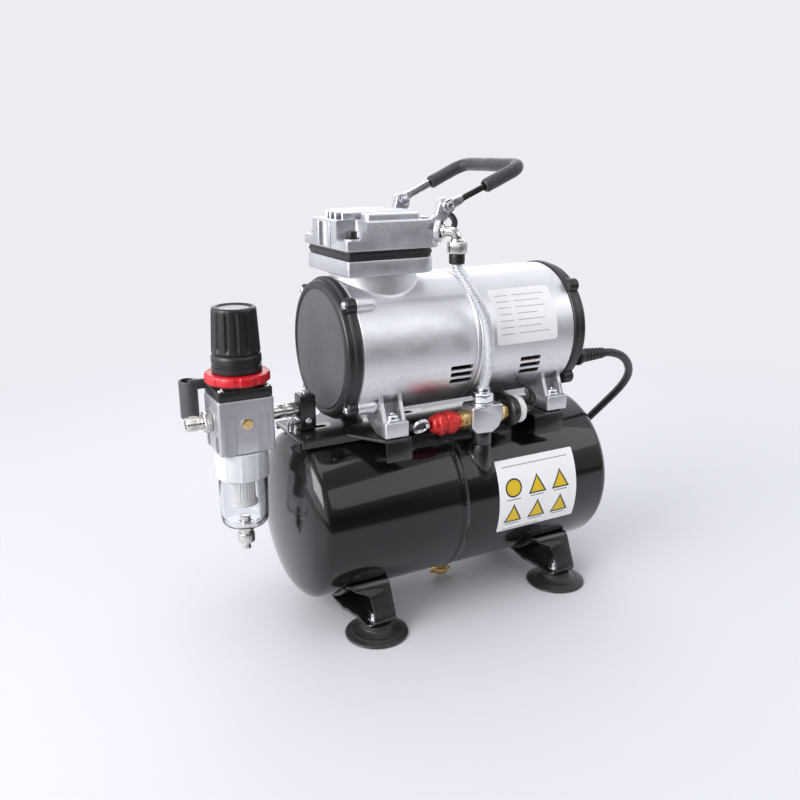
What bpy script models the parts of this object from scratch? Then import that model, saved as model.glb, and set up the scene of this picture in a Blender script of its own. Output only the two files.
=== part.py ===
"""Small oil-less airbrush compressor on a three-litre horizontal air tank.

Each piece is drawn in millimetres and scaled to metres when it is finished.
+X runs along the tank towards the mains lead, -Y is the front (labels, safety
valve), +Z is up and z = 0 is the surface the suction feet stand on.
"""

import math

import bmesh
import bpy
from mathutils import Matrix, Vector

# ----------------------------------------------------------------- dimensions
MM = 0.001
SHIFT_X = 30.8          # puts the middle of the footprint at x = 0

TANK_R = 61.0
TANK_HALF = 130.6
TANK_Z = 79.0
TANK_WALL = 2.0
SEAM_X = -12.0

FOOT_X = 80.0
FOOT_Y = 52.0
FOOT_R = 22.7
LEG_T = 2.0

PLATE_Z = 140.3         # underside of the motor plate
PLATE_T = 2.0

MOTOR_R = 48.5
MOTOR_Z = 198.2
CASE_X0, CASE_X1 = -86.0, 6.0
CAN_X0, CAN_X1 = 6.3, 88.0
COVER_FRONT_X = -96.5
COVER_REAR_X = 100.8
WALL_X0, WALL_X1 = -36.0, -28.0
MOUNT_X = (-62.0, 74.0)
MOUNT_Y = 42.0

HEAD_X = -55.0
BORE_R = 22.0
SLEEVE_R = 26.2
NECK_R = 30.5
BASE_Z0, BASE_Z1 = 250.7, 261.2
GASKET_Z0, GASKET_Z1 = 261.5, 267.2
HEAD_Z0, HEAD_Z1 = 267.5, 286.5
NOTCH = 21.2             # inner faces of the head's corner pockets
LEDGE_Z = 274.0
CRANK_THROW = 5.0

PIVOT = (-15.0, 294.5)  # handle pivot, x and z
ARM_Y = 35.4

MAN_Y = -48.0           # manifold in front of the motor
MAN_Z = 147.0
TEE_X = 8.0
HOSE_D = 8.0

REG_X = -155.6
REG_PORT_Z = 158.0

CORD_D = 6.5
CORD_Y, CORD_Z = -36.5, 178.0
COIL_X, COIL_Y = 62.0, 122.0
COIL_IN, COIL_OUT, COIL_H = 25.9, 46.2, 14.0


# -------------------------------------------------------------------- helpers
def clear_scene():
    for ob in list(bpy.data.objects):
        bpy.data.objects.remove(ob, do_unlink=True)
    for me in list(bpy.data.meshes):
        bpy.data.meshes.remove(me)


def material(name, colour, rough, metal=0.0, alpha=1.0, transmission=0.0):
    m = bpy.data.materials.get(name)
    if m is None:
        m = bpy.data.materials.new(name)
        m.use_nodes = True
        b = m.node_tree.nodes["Principled BSDF"]
        b.inputs["Base Color"].default_value = (*colour, 1.0)
        b.inputs["Roughness"].default_value = rough
        b.inputs["Metallic"].default_value = metal
        b.inputs["Alpha"].default_value = alpha
        b.inputs["Transmission Weight"].default_value = transmission
        m.diffuse_color = (*colour, 1.0)
    return m


def make(name, bm):
    """Turn a bmesh into an object, still in millimetres; finish() scales it."""
    bmesh.ops.recalc_face_normals(bm, faces=bm.faces)
    me = bpy.data.meshes.new(name)
    bm.to_mesh(me)
    bm.free()
    ob = bpy.data.objects.new(name, me)
    bpy.context.collection.objects.link(ob)
    return ob


def shade(ob, angle=35.0):
    me = ob.data
    me.polygons.foreach_set("use_smooth", [True] * len(me.polygons))
    bm = bmesh.new()
    bm.from_mesh(me)
    limit = math.radians(angle)
    for e in bm.edges:
        e.smooth = not (len(e.link_faces) == 2 and e.calc_face_angle(0.0) > limit)
    bm.to_mesh(me)
    bm.free()


AXES = {
    "X": Matrix(((0, 0, 1), (0, 1, 0), (-1, 0, 0))),
    "Y": Matrix(((1, 0, 0), (0, 0, 1), (0, -1, 0))),
    "Z": Matrix.Identity(3),
}


TURN = [0]


def lathe(profile, axis="Z", at=(0, 0, 0), seg=32, phase=None):
    """Revolve (radius, height) points; a point with radius 0 is on the axis.

    Each solid starts at a slightly different angle, so that no two of them
    share an edge line when they are joined or cut.
    """
    bm = bmesh.new()
    if phase is None:
        TURN[0] += 1
        phase = 0.031 + 0.0173 * (TURN[0] % 11)
    rot = AXES[axis]
    at = Vector(at)
    rings = []
    for r, h in profile:
        if r <= 1e-6:
            rings.append([bm.verts.new(rot @ Vector((0, 0, h)) + at)])
        else:
            rings.append([
                bm.verts.new(rot @ Vector((
                    r * math.cos(phase + 2 * math.pi * i / seg),
                    r * math.sin(phase + 2 * math.pi * i / seg), h)) + at)
                for i in range(seg)])
    closed = len(rings[0]) > 1
    pairs = list(zip(rings, rings[1:]))
    if closed:
        pairs.append((rings[-1], rings[0]))
    for a, b in pairs:
        for i in range(seg):
            j = (i + 1) % seg
            q = [a[i % len(a)], a[j % len(a)], b[j % len(b)], b[i % len(b)]]
            u = []
            for v in q:
                if v not in u:
                    u.append(v)
            if len(u) > 2:
                bm.faces.new(u)
    return bm


def box(x0, x1, y0, y1, z0, z1, bevel=0.0, seg=1):
    bm = bmesh.new()
    vs = [bm.verts.new((x, y, z)) for x in (x0, x1) for y in (y0, y1) for z in (z0, z1)]
    for f in ((0, 1, 3, 2), (4, 6, 7, 5), (0, 4, 5, 1), (2, 3, 7, 6), (0, 2, 6, 4), (1, 5, 7, 3)):
        bm.faces.new([vs[i] for i in f])
    if bevel:
        bmesh.ops.bevel(bm, geom=list(bm.edges), offset=bevel, segments=seg,
                        profile=0.5, affect="EDGES")
    return bm


def prism(points, h0, h1, axis="Z", bevel=0.0):
    """Extrude a closed outline along an axis."""
    bm = bmesh.new()

    def at(p, h):
        if axis == "Z":
            return (p[0], p[1], h)
        if axis == "X":
            return (h, p[0], p[1])
        return (p[0], h, p[1])

    lo = [bm.verts.new(at(p, h0)) for p in points]
    hi = [bm.verts.new(at(p, h1)) for p in points]
    n = len(points)
    bm.faces.new(lo)
    bm.faces.new(hi)
    for i in range(n):
        bm.faces.new((lo[i], lo[(i + 1) % n], hi[(i + 1) % n], hi[i]))
    if bevel:
        rim = [e for e in bm.edges
               if (e.verts[0] in lo and e.verts[1] in lo) or (e.verts[0] in hi and e.verts[1] in hi)]
        bmesh.ops.recalc_face_normals(bm, faces=bm.faces)
        bmesh.ops.bevel(bm, geom=rim, offset=bevel, segments=1, affect="EDGES")
    return bm


def hexagon(r, cx=0.0, cy=0.0, turn=0.0):
    return [(cx + r * math.cos(turn + math.pi / 3 * i), cy + r * math.sin(turn + math.pi / 3 * i))
            for i in range(6)]


def squircle(half, chamfer, cx=0.0, cy=0.0, steps=3):
    """Square outline with rounded-off corners."""
    pts = []
    for k in range(4):
        a0 = k * math.pi / 2
        c = half - chamfer
        mx, my = [(c, c), (-c, c), (-c, -c), (c, -c)][k]
        for s in range(steps + 1):
            a = a0 + math.pi / 2 * s / steps
            pts.append((cx + mx + chamfer * math.cos(a), cy + my + chamfer * math.sin(a)))
    return pts


def smooth_path(points, per=6):
    """Catmull-Rom curve through the points."""
    p = [Vector(q) for q in points]
    p = [2 * p[0] - p[1]] + p + [2 * p[-1] - p[-2]]
    out = []
    for i in range(1, len(p) - 2):
        for s in range(per):
            t = s / per
            a, b, c, d = p[i - 1], p[i], p[i + 1], p[i + 2]
            out.append(0.5 * ((2 * b) + (c - a) * t + (2 * a - 5 * b + 4 * c - d) * t * t
                              + (3 * b - a - 3 * c + d) * t ** 3))
    out.append(p[-2])
    return out


def sweep(path, r, seg=12, inner=None, squash=1.0):
    """Sweep a round (or flattened) section along a path, solid or hollow."""
    bm = bmesh.new()
    path = [Vector(p) for p in path]
    tangents = []
    for i in range(len(path)):
        a = path[max(i - 1, 0)]
        b = path[min(i + 1, len(path) - 1)]
        tangents.append((b - a).normalized())
    n = tangents[0].orthogonal().normalized()
    frames = []
    for t in tangents:
        n = (n - t * n.dot(t)).normalized()
        frames.append((n, t.cross(n)))

    def ring(i, rad):
        u, w = frames[i]
        return [bm.verts.new(path[i] + u * rad * math.cos(2 * math.pi * k / seg)
                             + w * rad * squash * math.sin(2 * math.pi * k / seg))
                for k in range(seg)]

    outer = [ring(i, r) for i in range(len(path))]
    for a, b in zip(outer, outer[1:]):
        for k in range(seg):
            bm.faces.new((a[k], a[(k + 1) % seg], b[(k + 1) % seg], b[k]))
    if inner is None:
        bm.faces.new(outer[0])
        bm.faces.new(outer[-1])
    else:
        hole = [ring(i, inner) for i in range(len(path))]
        for a, b in zip(hole, hole[1:]):
            for k in range(seg):
                bm.faces.new((a[k], b[k], b[(k + 1) % seg], a[(k + 1) % seg]))
        for o, h in ((outer[0], hole[0]), (outer[-1], hole[-1])):
            for k in range(seg):
                bm.faces.new((o[k], o[(k + 1) % seg], h[(k + 1) % seg], h[k]))
    return bm


def triangulated(ob):
    """Flat triangles only, which is what the exact solver wants."""
    bm = bmesh.new()
    bm.from_mesh(ob.data)
    bmesh.ops.triangulate(bm, faces=bm.faces)
    bm.to_mesh(ob.data)
    bm.free()


def boolean(ob, tools, op):
    """Add or cut the tools with the exact solver, then drop them."""
    for k, bm in enumerate(tools):
        tool = make(f"tool_{k}", bm)
        triangulated(tool)
        triangulated(ob)
        tool.hide_render = True
        tool.display_type = "WIRE"
        mod = ob.modifiers.new("cut", "BOOLEAN")
        mod.operation = op
        mod.solver = "EXACT"
        mod.object = tool
        dg = bpy.context.evaluated_depsgraph_get()
        me = bpy.data.meshes.new_from_object(ob.evaluated_get(dg))
        ob.modifiers.remove(mod)
        old = ob.data
        ob.data = me
        bpy.data.meshes.remove(old)
        gone = tool.data
        bpy.data.objects.remove(tool, do_unlink=True)
        bpy.data.meshes.remove(gone)
    return ob


def cut(ob, *tools):
    return boolean(ob, tools, "DIFFERENCE")


def join(ob, *tools):
    return boolean(ob, tools, "UNION")


def finish(ob, mat, angle=35.0):
    """Clean the mesh, scale it to metres, give it its material and shading."""
    bm = bmesh.new()
    bm.from_mesh(ob.data)
    bmesh.ops.remove_doubles(bm, verts=bm.verts, dist=0.002)
    bmesh.ops.dissolve_degenerate(bm, edges=bm.edges, dist=0.001)
    bmesh.ops.dissolve_limit(bm, angle_limit=math.radians(0.6), verts=bm.verts, edges=bm.edges)
    bmesh.ops.recalc_face_normals(bm, faces=bm.faces)
    bmesh.ops.scale(bm, vec=(MM, MM, MM), verts=bm.verts)
    bm.to_mesh(ob.data)
    bm.free()
    ob.data.materials.clear()
    ob.data.materials.append(mat)
    for p in ob.data.polygons:
        p.material_index = 0
    shade(ob, angle)
    return ob


def origin_at(ob, x, y, z):
    """Move the object's origin to a point given in millimetres."""
    p = Vector((x, y, z)) * MM
    ob.data.transform(Matrix.Translation(-p))
    ob.location = p
    return ob


# ------------------------------------------------------------------ materials
def materials():
    M = {}
    M["tank_black"] = material("tank_black", (0.012, 0.012, 0.014), 0.12)
    M["sheet_black"] = material("sheet_black", (0.015, 0.015, 0.016), 0.35)
    M["leg_black"] = material("leg_black", (0.013, 0.013, 0.014), 0.3)
    M["foot_rubber"] = material("foot_rubber", (0.018, 0.018, 0.018), 0.55)
    M["cast_alu"] = material("cast_alu", (0.62, 0.63, 0.65), 0.35, 1.0)
    M["motor_alu"] = material("motor_alu", (0.66, 0.67, 0.69), 0.3, 1.0)
    M["cover_black"] = material("cover_black", (0.03, 0.03, 0.033), 0.45)
    M["gasket_black"] = material("gasket_black", (0.012, 0.012, 0.012), 0.5)
    M["nickel"] = material("nickel", (0.72, 0.7, 0.67), 0.22, 1.0)
    M["brass"] = material("brass", (0.7, 0.48, 0.2), 0.3, 1.0)
    M["steel"] = material("steel", (0.58, 0.58, 0.6), 0.3, 1.0)
    M["hose_clear"] = material("hose_clear", (0.75, 0.77, 0.79), 0.3)
    M["foam_grey"] = material("foam_grey", (0.025, 0.027, 0.03), 0.9)
    M["valve_red"] = material("valve_red", (0.62, 0.03, 0.025), 0.3)
    M["ring_red"] = material("ring_red", (0.6, 0.012, 0.02), 0.3)
    M["switch_black"] = material("switch_black", (0.02, 0.02, 0.02), 0.4)
    M["cap_white"] = material("cap_white", (0.8, 0.8, 0.78), 0.4)
    M["reg_zinc"] = material("reg_zinc", (0.68, 0.69, 0.7), 0.4, 0.9)
    M["reg_black"] = material("reg_black", (0.014, 0.014, 0.015), 0.35)
    M["bowl_clear"] = material("bowl_clear", (0.86, 0.88, 0.9), 0.05, 0.0, 1.0, 0.9)
    M["filter_white"] = material("filter_white", (0.82, 0.8, 0.74), 0.85)
    M["holder_rubber"] = material("holder_rubber", (0.05, 0.052, 0.055), 0.6)
    M["copper"] = material("copper", (0.55, 0.25, 0.12), 0.35, 1.0)
    M["lamination"] = material("lamination", (0.32, 0.33, 0.35), 0.5, 1.0)
    M["fan_plastic"] = material("fan_plastic", (0.08, 0.08, 0.08), 0.5)
    M["piston_ptfe"] = material("piston_ptfe", (0.3, 0.3, 0.3), 0.5)
    M["cord_black"] = material("cord_black", (0.012, 0.012, 0.012), 0.45)
    M["plug_black"] = material("plug_black", (0.012, 0.012, 0.012), 0.4)
    return M


# ----------------------------------------------------------------------- tank
def tank(M):
    dome = [(0, 130.6), (14, 130.2), (28, 129.0), (40, 127.1), (50, 124.4),
            (56, 121.2), (59.6, 117.6), (61, 113.2)]
    left = [(r, -x) for r, x in dome]
    ridge = [(61, SEAM_X - 3.2), (61.9, SEAM_X - 2.2), (61.9, SEAM_X + 2.2), (61, SEAM_X + 3.2)]
    right = [(r, x) for r, x in reversed(dome)]
    ob = make("tank_shell", lathe(left + ridge + right, "X", (0, 0, TANK_Z), 48))
    join(ob,
         lathe([(0, 108), (8.5, 108), (8.5, 126.2), (7.7, 127), (0, 127)], "Z", (TEE_X, MAN_Y, 0), 18),
         lathe([(0, 14.5), (8, 14.5), (8, 24), (0, 24)], "Z", (4, 0, 0), 18))
    inside = [(0, -128.4), (27, -126.8), (48, -122.4), (57.4, -115.6), (59, -112),
              (59, 112), (57.4, 115.6), (48, 122.4), (27, 126.8), (0, 128.4)]
    cut(ob,
        lathe(inside, "X", (0, 0, TANK_Z), 32),
        lathe([(0, 60), (5.4, 60), (5.4, 130), (0, 130)], "Z", (TEE_X, MAN_Y, 0), 14),
        lathe([(0, 10), (3.9, 10), (3.9, 40), (0, 40)], "Z", (4, 0, 0), 12))
    finish(ob, M["tank_black"], 28)


def leg(name, sx, sy, M):
    """One bent-strip leg: a saddle under the tank, an outer strip and a brace."""
    def on_tank(theta, r):
        a = math.radians(theta)
        return (sy * r * math.sin(a), TANK_Z - r * math.cos(a))

    r0 = TANK_R + 0.35
    r1 = r0 + LEG_T
    outer = [on_tank(t, r0) for t in (14, 20, 26, 32, 38, 44, 50)]
    inner = [on_tank(t, r1) for t in (19, 23.5, 28, 32.5, 37, 41.5, 46)]
    outer += [(sy * 49.4, 37.6), (sy * 53.5, 28), (sy * 60.6, 12.4), (sy * 59.8, 9.6), (sy * 58, 9.0),
              (sy * 46.5, 9.0), (sy * 43.6, 9.6), (sy * 30, 13.0)]
    inner += [(sy * 47.6, 36.2), (sy * 51.5, 27.5), (sy * 58.3, 13.0), (sy * 57.8, 11.2), (sy * 56.6, 11.0),
              (sy * 47, 11.0), (sy * 44.6, 11.4), (sy * 32.4, 14.8)]
    bm = bmesh.new()
    cx = sx * FOOT_X

    # the saddle is wider than the two arms that run down to the foot
    rings = []
    for k, (o, i) in enumerate(zip(outer, inner)):
        lo, hi = (cx - 20.0, cx + 11.5) if k < 6 else (cx - 15.0, cx + 11.0) if k == 6 else (cx - 10.5, cx + 10.5)
        rings.append([bm.verts.new((lo, *o)), bm.verts.new((hi, *o)),
                      bm.verts.new((hi, *i)), bm.verts.new((lo, *i))])
    n = len(rings)
    for k in range(n):
        a, b = rings[k], rings[(k + 1) % n]
        for e in range(4):
            f = (e + 1) % 4
            bm.faces.new((a[e], a[f], b[f], b[e]))
    ob = make(name, bm)
    cut(ob, lathe([(0, 5), (3.2, 5), (3.2, 13.5), (0, 13.5)], "Z", (cx, sy * FOOT_Y, 0), 12))
    finish(ob, M["leg_black"], 30)


def foot(name, sx, sy, M):
    prof = [(0, 3.6), (12, 2.6), (18.6, 0.0), (22.7, 0.0), (22.7, 0.9), (20.6, 2.5), (12.6, 5.2), (10.9, 6.2),
            (10.9, 8.7), (3.0, 8.7), (3.0, 12.0), (0, 12.0)]
    ob = make(name, lathe(prof, "Z", (sx * FOOT_X, sy * FOOT_Y, 0), 24))
    finish(ob, M["foot_rubber"], 40)


def tank_drain(M):
    prof = [(0, 7.6), (6.0, 7.6), (6.6, 8.2), (6.6, 14.2), (3.6, 14.2), (3.6, 21.0), (0, 21.0)]
    ob = make("tank_drain_body", lathe(prof, "Z", (4, 0, 0), 6))
    finish(ob, M["brass"], 20)
    knob = make("tank_drain_knob", lathe([(0, 2.4), (5.2, 2.4), (5.8, 3.2), (5.8, 6.4), (4.6, 7.3), (0, 7.3)],
                                         "Z", (4, 0, 0), 14))
    join(knob, box(4 - 9, 4 + 9, -1.4, 1.4, 2.6, 6.6, 0.4))
    finish(knob, M["brass"], 30)
    origin_at(knob, 4, 0, 5)


# --------------------------------------------------------------- motor plate
def motor_plate(M):
    z0, z1 = PLATE_Z, PLATE_Z + PLATE_T
    ob = make("motor_plate", box(-122, 90, -26, 26, z0, z1))
    tools = []
    # wings under the motor feet, narrowing outwards, their ends bent down
    for wide, x0, x1 in ((-89.0, -71.5, -52.0), (89.0, 78.0, 52.0)):
        tools.append(prism([(x1, -53), (x0, -53), (wide, -25), (wide, 25), (x0, 53), (x1, 53)], z0, z1, "Z"))
        for s in (-1, 1):
            tools.append(box(min(x0, x1), max(x0, x1), min(s * 51, s * 53), max(s * 51, s * 53), 127, z0 + 1))
    # long edges folded down for stiffness
    for s in (-1, 1):
        tools.append(box(-121, 89, min(s * 24, s * 25.9), max(s * 24, s * 25.9), 136.6, z0 + 1))
    join(ob, *tools)
    holes = [lathe([(0, z0 - 2), (3.1, z0 - 2), (3.1, z1 + 2), (0, z1 + 2)], "Z", (x, s * MOUNT_Y, 0), 12)
             for x in MOUNT_X for s in (-1, 1)]
    # relief over the tank's weld seam
    holes.append(box(SEAM_X - 5, SEAM_X + 5, -11, 11, z0 - 2, z1 + 2))
    cut(ob, *holes)
    finish(ob, M["sheet_black"], 30)


def mount_bolt(name, x, y, M):
    prof = [(0, 134.6), (3.0, 134.6), (3.0, 135.8), (5.6, 135.8), (5.6, 140.0), (2.7, 140.0), (2.7, 154.3),
            (5.4, 154.3), (5.4, 155.4), (4.0, 157.6), (0, 158.6)]
    ob = make(name, lathe(prof, "Z", (x, y, 0), 12))
    finish(ob, M["steel"], 30)


# ----------------------------------------------------------------- motor body
def mount_feet(x):
    """Cast feet and their webs, ready to be joined to a round housing."""
    out = []
    for s in (-1, 1):
        y0, y1 = sorted((s * 34, s * 50.5))
        out.append(box(x - 9, x + 9, y0, y1, 142.6, 154.0, 1.0))
        web = [(s * 20, 170), (s * 20, 150), (s * 33, 143.5), (s * 44, 143.5), (s * 46.5, 153),
               (s * 40, 166), (s * 39, 176)]
        out.append(prism(web, x - 8.6, x - 5.9, "X"))
        out.append(prism(web, x + 5.9, x + 8.6, "X"))
    return out


def foot_holes(x):
    return [lathe([(0, 140), (3.1, 140), (3.1, 160), (0, 160)], "Z", (x, s * MOUNT_Y, 0), 12)
            for s in (-1, 1)]


def slots(xs, sides):
    """Three stacked vent slots cut through the wall on each side."""
    out = []
    for x0 in xs:
        for s in sides:
            for k in range(3):
                z = 185.0 - 5.2 * k
                y0, y1 = sorted((s * 36, s * 52))
                out.append(box(x0 + 0.8 * k, x0 + 18 + 0.8 * k, y0, y1, z - 1.3, z + 1.3))
    return out


def crankcase(M):
    c = (0, 0, MOTOR_Z)
    body = [(0, CASE_X0), (47.2, CASE_X0), (MOTOR_R, CASE_X0 + 1.2), (MOTOR_R, CASE_X1 - 0.8),
            (MOTOR_R - 0.8, CASE_X1), (0, CASE_X1)]
    ob = make("crankcase", lathe(body, "X", c, 50))
    lugs = [lathe([(0, CASE_X0 + 0.2), (5.0, CASE_X0 + 0.2), (5.0, CASE_X0 + 12), (3, CASE_X0 + 15), (0, CASE_X0 + 15)],
                  "X", (0, 49.6 * math.cos(a), MOTOR_Z + 49.6 * math.sin(a)), 10)
            for a in (math.radians(45 + 90 * k) for k in range(4))]
    join(ob,
         lathe([(0, 215), (NECK_R, 215), (NECK_R, BASE_Z0 - 0.3), (0, BASE_Z0 - 0.3)], "Z", (HEAD_X, 0, 0), 30),
         *mount_feet(MOUNT_X[0]), *lugs)
    cut(ob,
        lathe([(0, CASE_X0 - 5), (44.2, CASE_X0 - 5), (44.2, WALL_X0), (0, WALL_X0)], "X", c, 36),
        lathe([(0, WALL_X1), (45.2, WALL_X1), (45.2, CASE_X1 + 5), (0, CASE_X1 + 5)], "X", c, 36),
        lathe([(0, WALL_X0 - 3), (13.0, WALL_X0 - 3), (13.0, WALL_X1 + 3), (0, WALL_X1 + 3)], "X", c, 20),
        lathe([(0, 205), (SLEEVE_R + 0.3, 205), (SLEEVE_R + 0.3, 260), (0, 260)], "Z", (HEAD_X, 0, 0), 30),
        *foot_holes(MOUNT_X[0]), *slots((-18.0,), (-1, 1)))
    finish(ob, M["cast_alu"], 32)


def motor_can(M):
    c = (0, 0, MOTOR_Z)
    body = [(0, CAN_X0), (MOTOR_R - 0.8, CAN_X0), (MOTOR_R, CAN_X0 + 0.8), (MOTOR_R, CAN_X1), (0, CAN_X1)]
    ob = make("motor_housing", lathe(body, "X", c, 50))
    join(ob, *mount_feet(MOUNT_X[1]))
    cut(ob,
        lathe([(0, CAN_X0 - 5), (45.2, CAN_X0 - 5), (45.2, CAN_X1 + 5), (0, CAN_X1 + 5)], "X", c, 36),
        *foot_holes(MOUNT_X[1]), *slots((41.0,), (-1, 1)))
    finish(ob, M["motor_alu"], 32)


def cover(name, face, seat, M):
    """Round end cover with four screw lugs; face is the outer end."""
    d = 1 if face > seat else -1
    c = (0, 0, MOTOR_Z)
    prof = [(0, seat), (48.6, seat), (49.6, seat + d * 1.0), (49.6, face - d * 3.4), (48.6, face - d * 1.4),
            (46.2, face - d * 0.2), (44.4, face), (43.2, face), (42.6, face - d * 0.9), (0, face - d * 0.9)]
    ob = make(name, lathe(prof, "X", c, 42))
    a0 = 45.0
    lugs = []
    for k in range(4):
        a = math.radians(a0 + 90 * k)
        lugs.append(lathe([(0, seat + d * 0.2), (5.4, seat + d * 0.2), (5.4, face - d * 3.6), (4.6, face - d * 2.8), (0, face - d * 2.8)],
                          "X", (0, 49.4 * math.cos(a), MOTOR_Z + 49.4 * math.sin(a)), 12))
    join(ob, *lugs)
    hollow = [(0, seat - d * 2), (41.5, seat - d * 2), (41.5, face - d * 5.0), (0, face - d * 5.0)]
    cut(ob, lathe(hollow, "X", c, 30))
    if d > 0:
        join(ob, lathe([(0, face - 11.5), (15.5, face - 11.5), (15.5, face - 3), (0, face - 3)], "X", c, 20))
        cut(ob, lathe([(0, face - 14), (11.4, face - 14), (11.4, face - 3.2), (0, face - 3.2)], "X", c, 20),
            lathe([(0, seat - 5), (3.9, seat - 5), (3.9, face + 5), (0, face + 5)], "X", (0, CORD_Y, CORD_Z), 12))
    finish(ob, M["cover_black"], 30)


# ----------------------------------------------------------- drive, inside
def drive(M):
    c = (0, 0, MOTOR_Z)
    shaft = [(0, -46.0), (4.0, -46.0), (4.0, 97.2), (0, 97.2)]
    ob = make("crankshaft", lathe(shaft, "X", c, 14))
    join(ob,
         lathe([(0, -48.5), (12.5, -48.5), (12.5, -42.5), (0, -42.5)], "X", c, 20),
         prism([(-9, MOTOR_Z - 13), (4, MOTOR_Z - 18), (4, MOTOR_Z + 18), (-9, MOTOR_Z + 13)], -48.0, -43.0, "X"),
         lathe([(0, -61.0), (4.0, -61.0), (4.0, -46), (0, -46)], "X", (0, CRANK_THROW, MOTOR_Z), 12))
    finish(ob, M["steel"], 30)
    origin_at(ob, 0, 0, MOTOR_Z)

    # piston: cup in the bore, flat rod, open eye around the crank pin
    ob = make("piston_rod", lathe([(0, 243.0), (18.0, 243.0), (BORE_R - 0.2, 244.0), (BORE_R - 0.2, 249.5),
                                   (19.5, 251.0), (0, 251.0)], "Z", (HEAD_X, 0, 0), 26))
    join(ob,
         box(HEAD_X - 3.5, HEAD_X + 3.5, -6.5, 6.5, MOTOR_Z + 15.4, 244),
         lathe([(14.6, HEAD_X - 3.5), (18.6, HEAD_X - 3.5), (18.6, HEAD_X + 3.5), (14.6, HEAD_X + 3.5)],
               "X", c, 20))
    finish(ob, M["piston_ptfe"], 30)
    origin_at(ob, HEAD_X, 0, MOTOR_Z)

    ob = make("rotor_core", lathe([(4.4, 22), (25.6, 22), (26.0, 22.4), (26.0, 61.6), (25.6, 62), (4.4, 62)],
                                  "X", c, 24))
    finish(ob, M["lamination"], 30)
    origin_at(ob, 0, 0, MOTOR_Z)

    stator = [(26.6, 22), (44.8, 22), (44.8, 62), (26.6, 62)]
    ob = make("stator", lathe(stator, "X", c, 26))
    join(ob,
         lathe([(28.5, 14), (39.5, 14), (41, 16), (41, 24), (28.5, 24)], "X", c, 26),
         lathe([(28.5, 60), (41, 60), (41, 68), (39.5, 70), (28.5, 70)], "X", c, 26))
    finish(ob, M["copper"], 30)

    fan = make("cooling_fan", lathe([(4.4, 74), (11, 74), (11, 86), (4.4, 86)], "X", c, 18))
    blades = []
    for k in range(7):
        a = 2 * math.pi * k / 7
        bm = box(75, 85, -0.8, 0.8, 9.0, 34.0)
        bmesh.ops.rotate(bm, verts=bm.verts, cent=(80, 0, 0), matrix=Matrix.Rotation(math.radians(28), 3, "Z"))
        bmesh.ops.rotate(bm, verts=bm.verts, cent=(0, 0, 0), matrix=Matrix.Rotation(a, 3, "X"))
        bmesh.ops.translate(bm, verts=bm.verts, vec=c)
        blades.append(bm)
    join(fan, *blades)
    finish(fan, M["fan_plastic"], 30)
    origin_at(fan, 0, 0, MOTOR_Z)

    for name, x0, x1, r in (("bearing_front", WALL_X0 + 0.3, WALL_X1 - 0.3, 12.6), ("bearing_rear", 90.2, 97.2, 11.0)):
        ob = make(name, lathe([(4.4, x0), (r, x0), (r, x1), (4.4, x1)], "X", c, 20))
        finish(ob, M["steel"], 30)


# ------------------------------------------------------------------ pump head
def pump_head(M):
    h = (HEAD_X, 0)
    ob = make("cylinder_base", prism(squircle(33.8, 3.2, *h), BASE_Z0, BASE_Z1, "Z", 0.8))
    cut(ob, lathe([(0, 245), (SLEEVE_R + 0.3, 245), (SLEEVE_R + 0.3, 265), (0, 265)], "Z", (HEAD_X, 0, 0), 30))
    finish(ob, M["cast_alu"], 30)

    ob = make("cylinder_sleeve", lathe([(BORE_R, 224), (SLEEVE_R, 224), (SLEEVE_R, BASE_Z1), (BORE_R, BASE_Z1)],
                                       "Z", (HEAD_X, 0, 0), 26))
    finish(ob, M["steel"], 30)

    ob = make("head_gasket", prism(squircle(33.0, 3.0, *h), GASKET_Z0, GASKET_Z1, "Z"))
    cut(ob, lathe([(0, 255), (BORE_R, 255), (BORE_R, 270), (0, 270)], "Z", (HEAD_X, 0, 0), 24))
    finish(ob, M["gasket_black"], 30)

    ob = make("cylinder_head", prism(squircle(35.5, 3.4, *h), HEAD_Z0, HEAD_Z1, "Z", 0.8))
    # square pockets for the corner screws, with a ledge at their foot
    cut(ob, *[box(HEAD_X - 40, HEAD_X - NOTCH, min(s * NOTCH, s * 40), max(s * NOTCH, s * 40), LEDGE_Z, 295)
              for s in (-1, 1)])
    add = []
    for y in (-20, -10, 0, 10, 20):
        half = 27 if abs(y) < 15 else 21
        add.append(box(HEAD_X - half, HEAD_X + half, y - 1.6, y + 1.6, HEAD_Z1 - 1, HEAD_Z1 + 4.6, 0.4))
    for s in (-1, 1):
        y0, y1 = sorted((s * 27.5, s * 32.6))
        add.append(prism([(-34, 280.7), (-22.5, 280.7), (-14.5, 285.5), (-9.8, 291), (-9.8, 297.5), (-12, 299.7),
                          (-18, 299.7), (-20.2, 297.5), (-23, 288), (-34, 285)], y0, y1, "Y"))
    join(ob, *add)
    cuts = [lathe([(0, 260), (17, 260), (17, HEAD_Z0 + 9), (0, HEAD_Z0 + 9)], "Z", (HEAD_X - 5, 0, 0), 20),
            lathe([(0, -40), (2.8, -40), (2.8, 40), (0, 40)], "Y", (PIVOT[0], 0, PIVOT[1]), 12)]
    for sy in (-1, 1):
        cuts.append(lathe([(0, HEAD_Z0 + 12), (4.4, HEAD_Z0 + 12), (4.4, HEAD_Z0 + 26), (0, HEAD_Z0 + 26)],
                          "Z", (HEAD_X + 22.0, sy * 22.0, 0), 12))
    cut(ob, *cuts)
    finish(ob, M["cast_alu"], 30)


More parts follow.
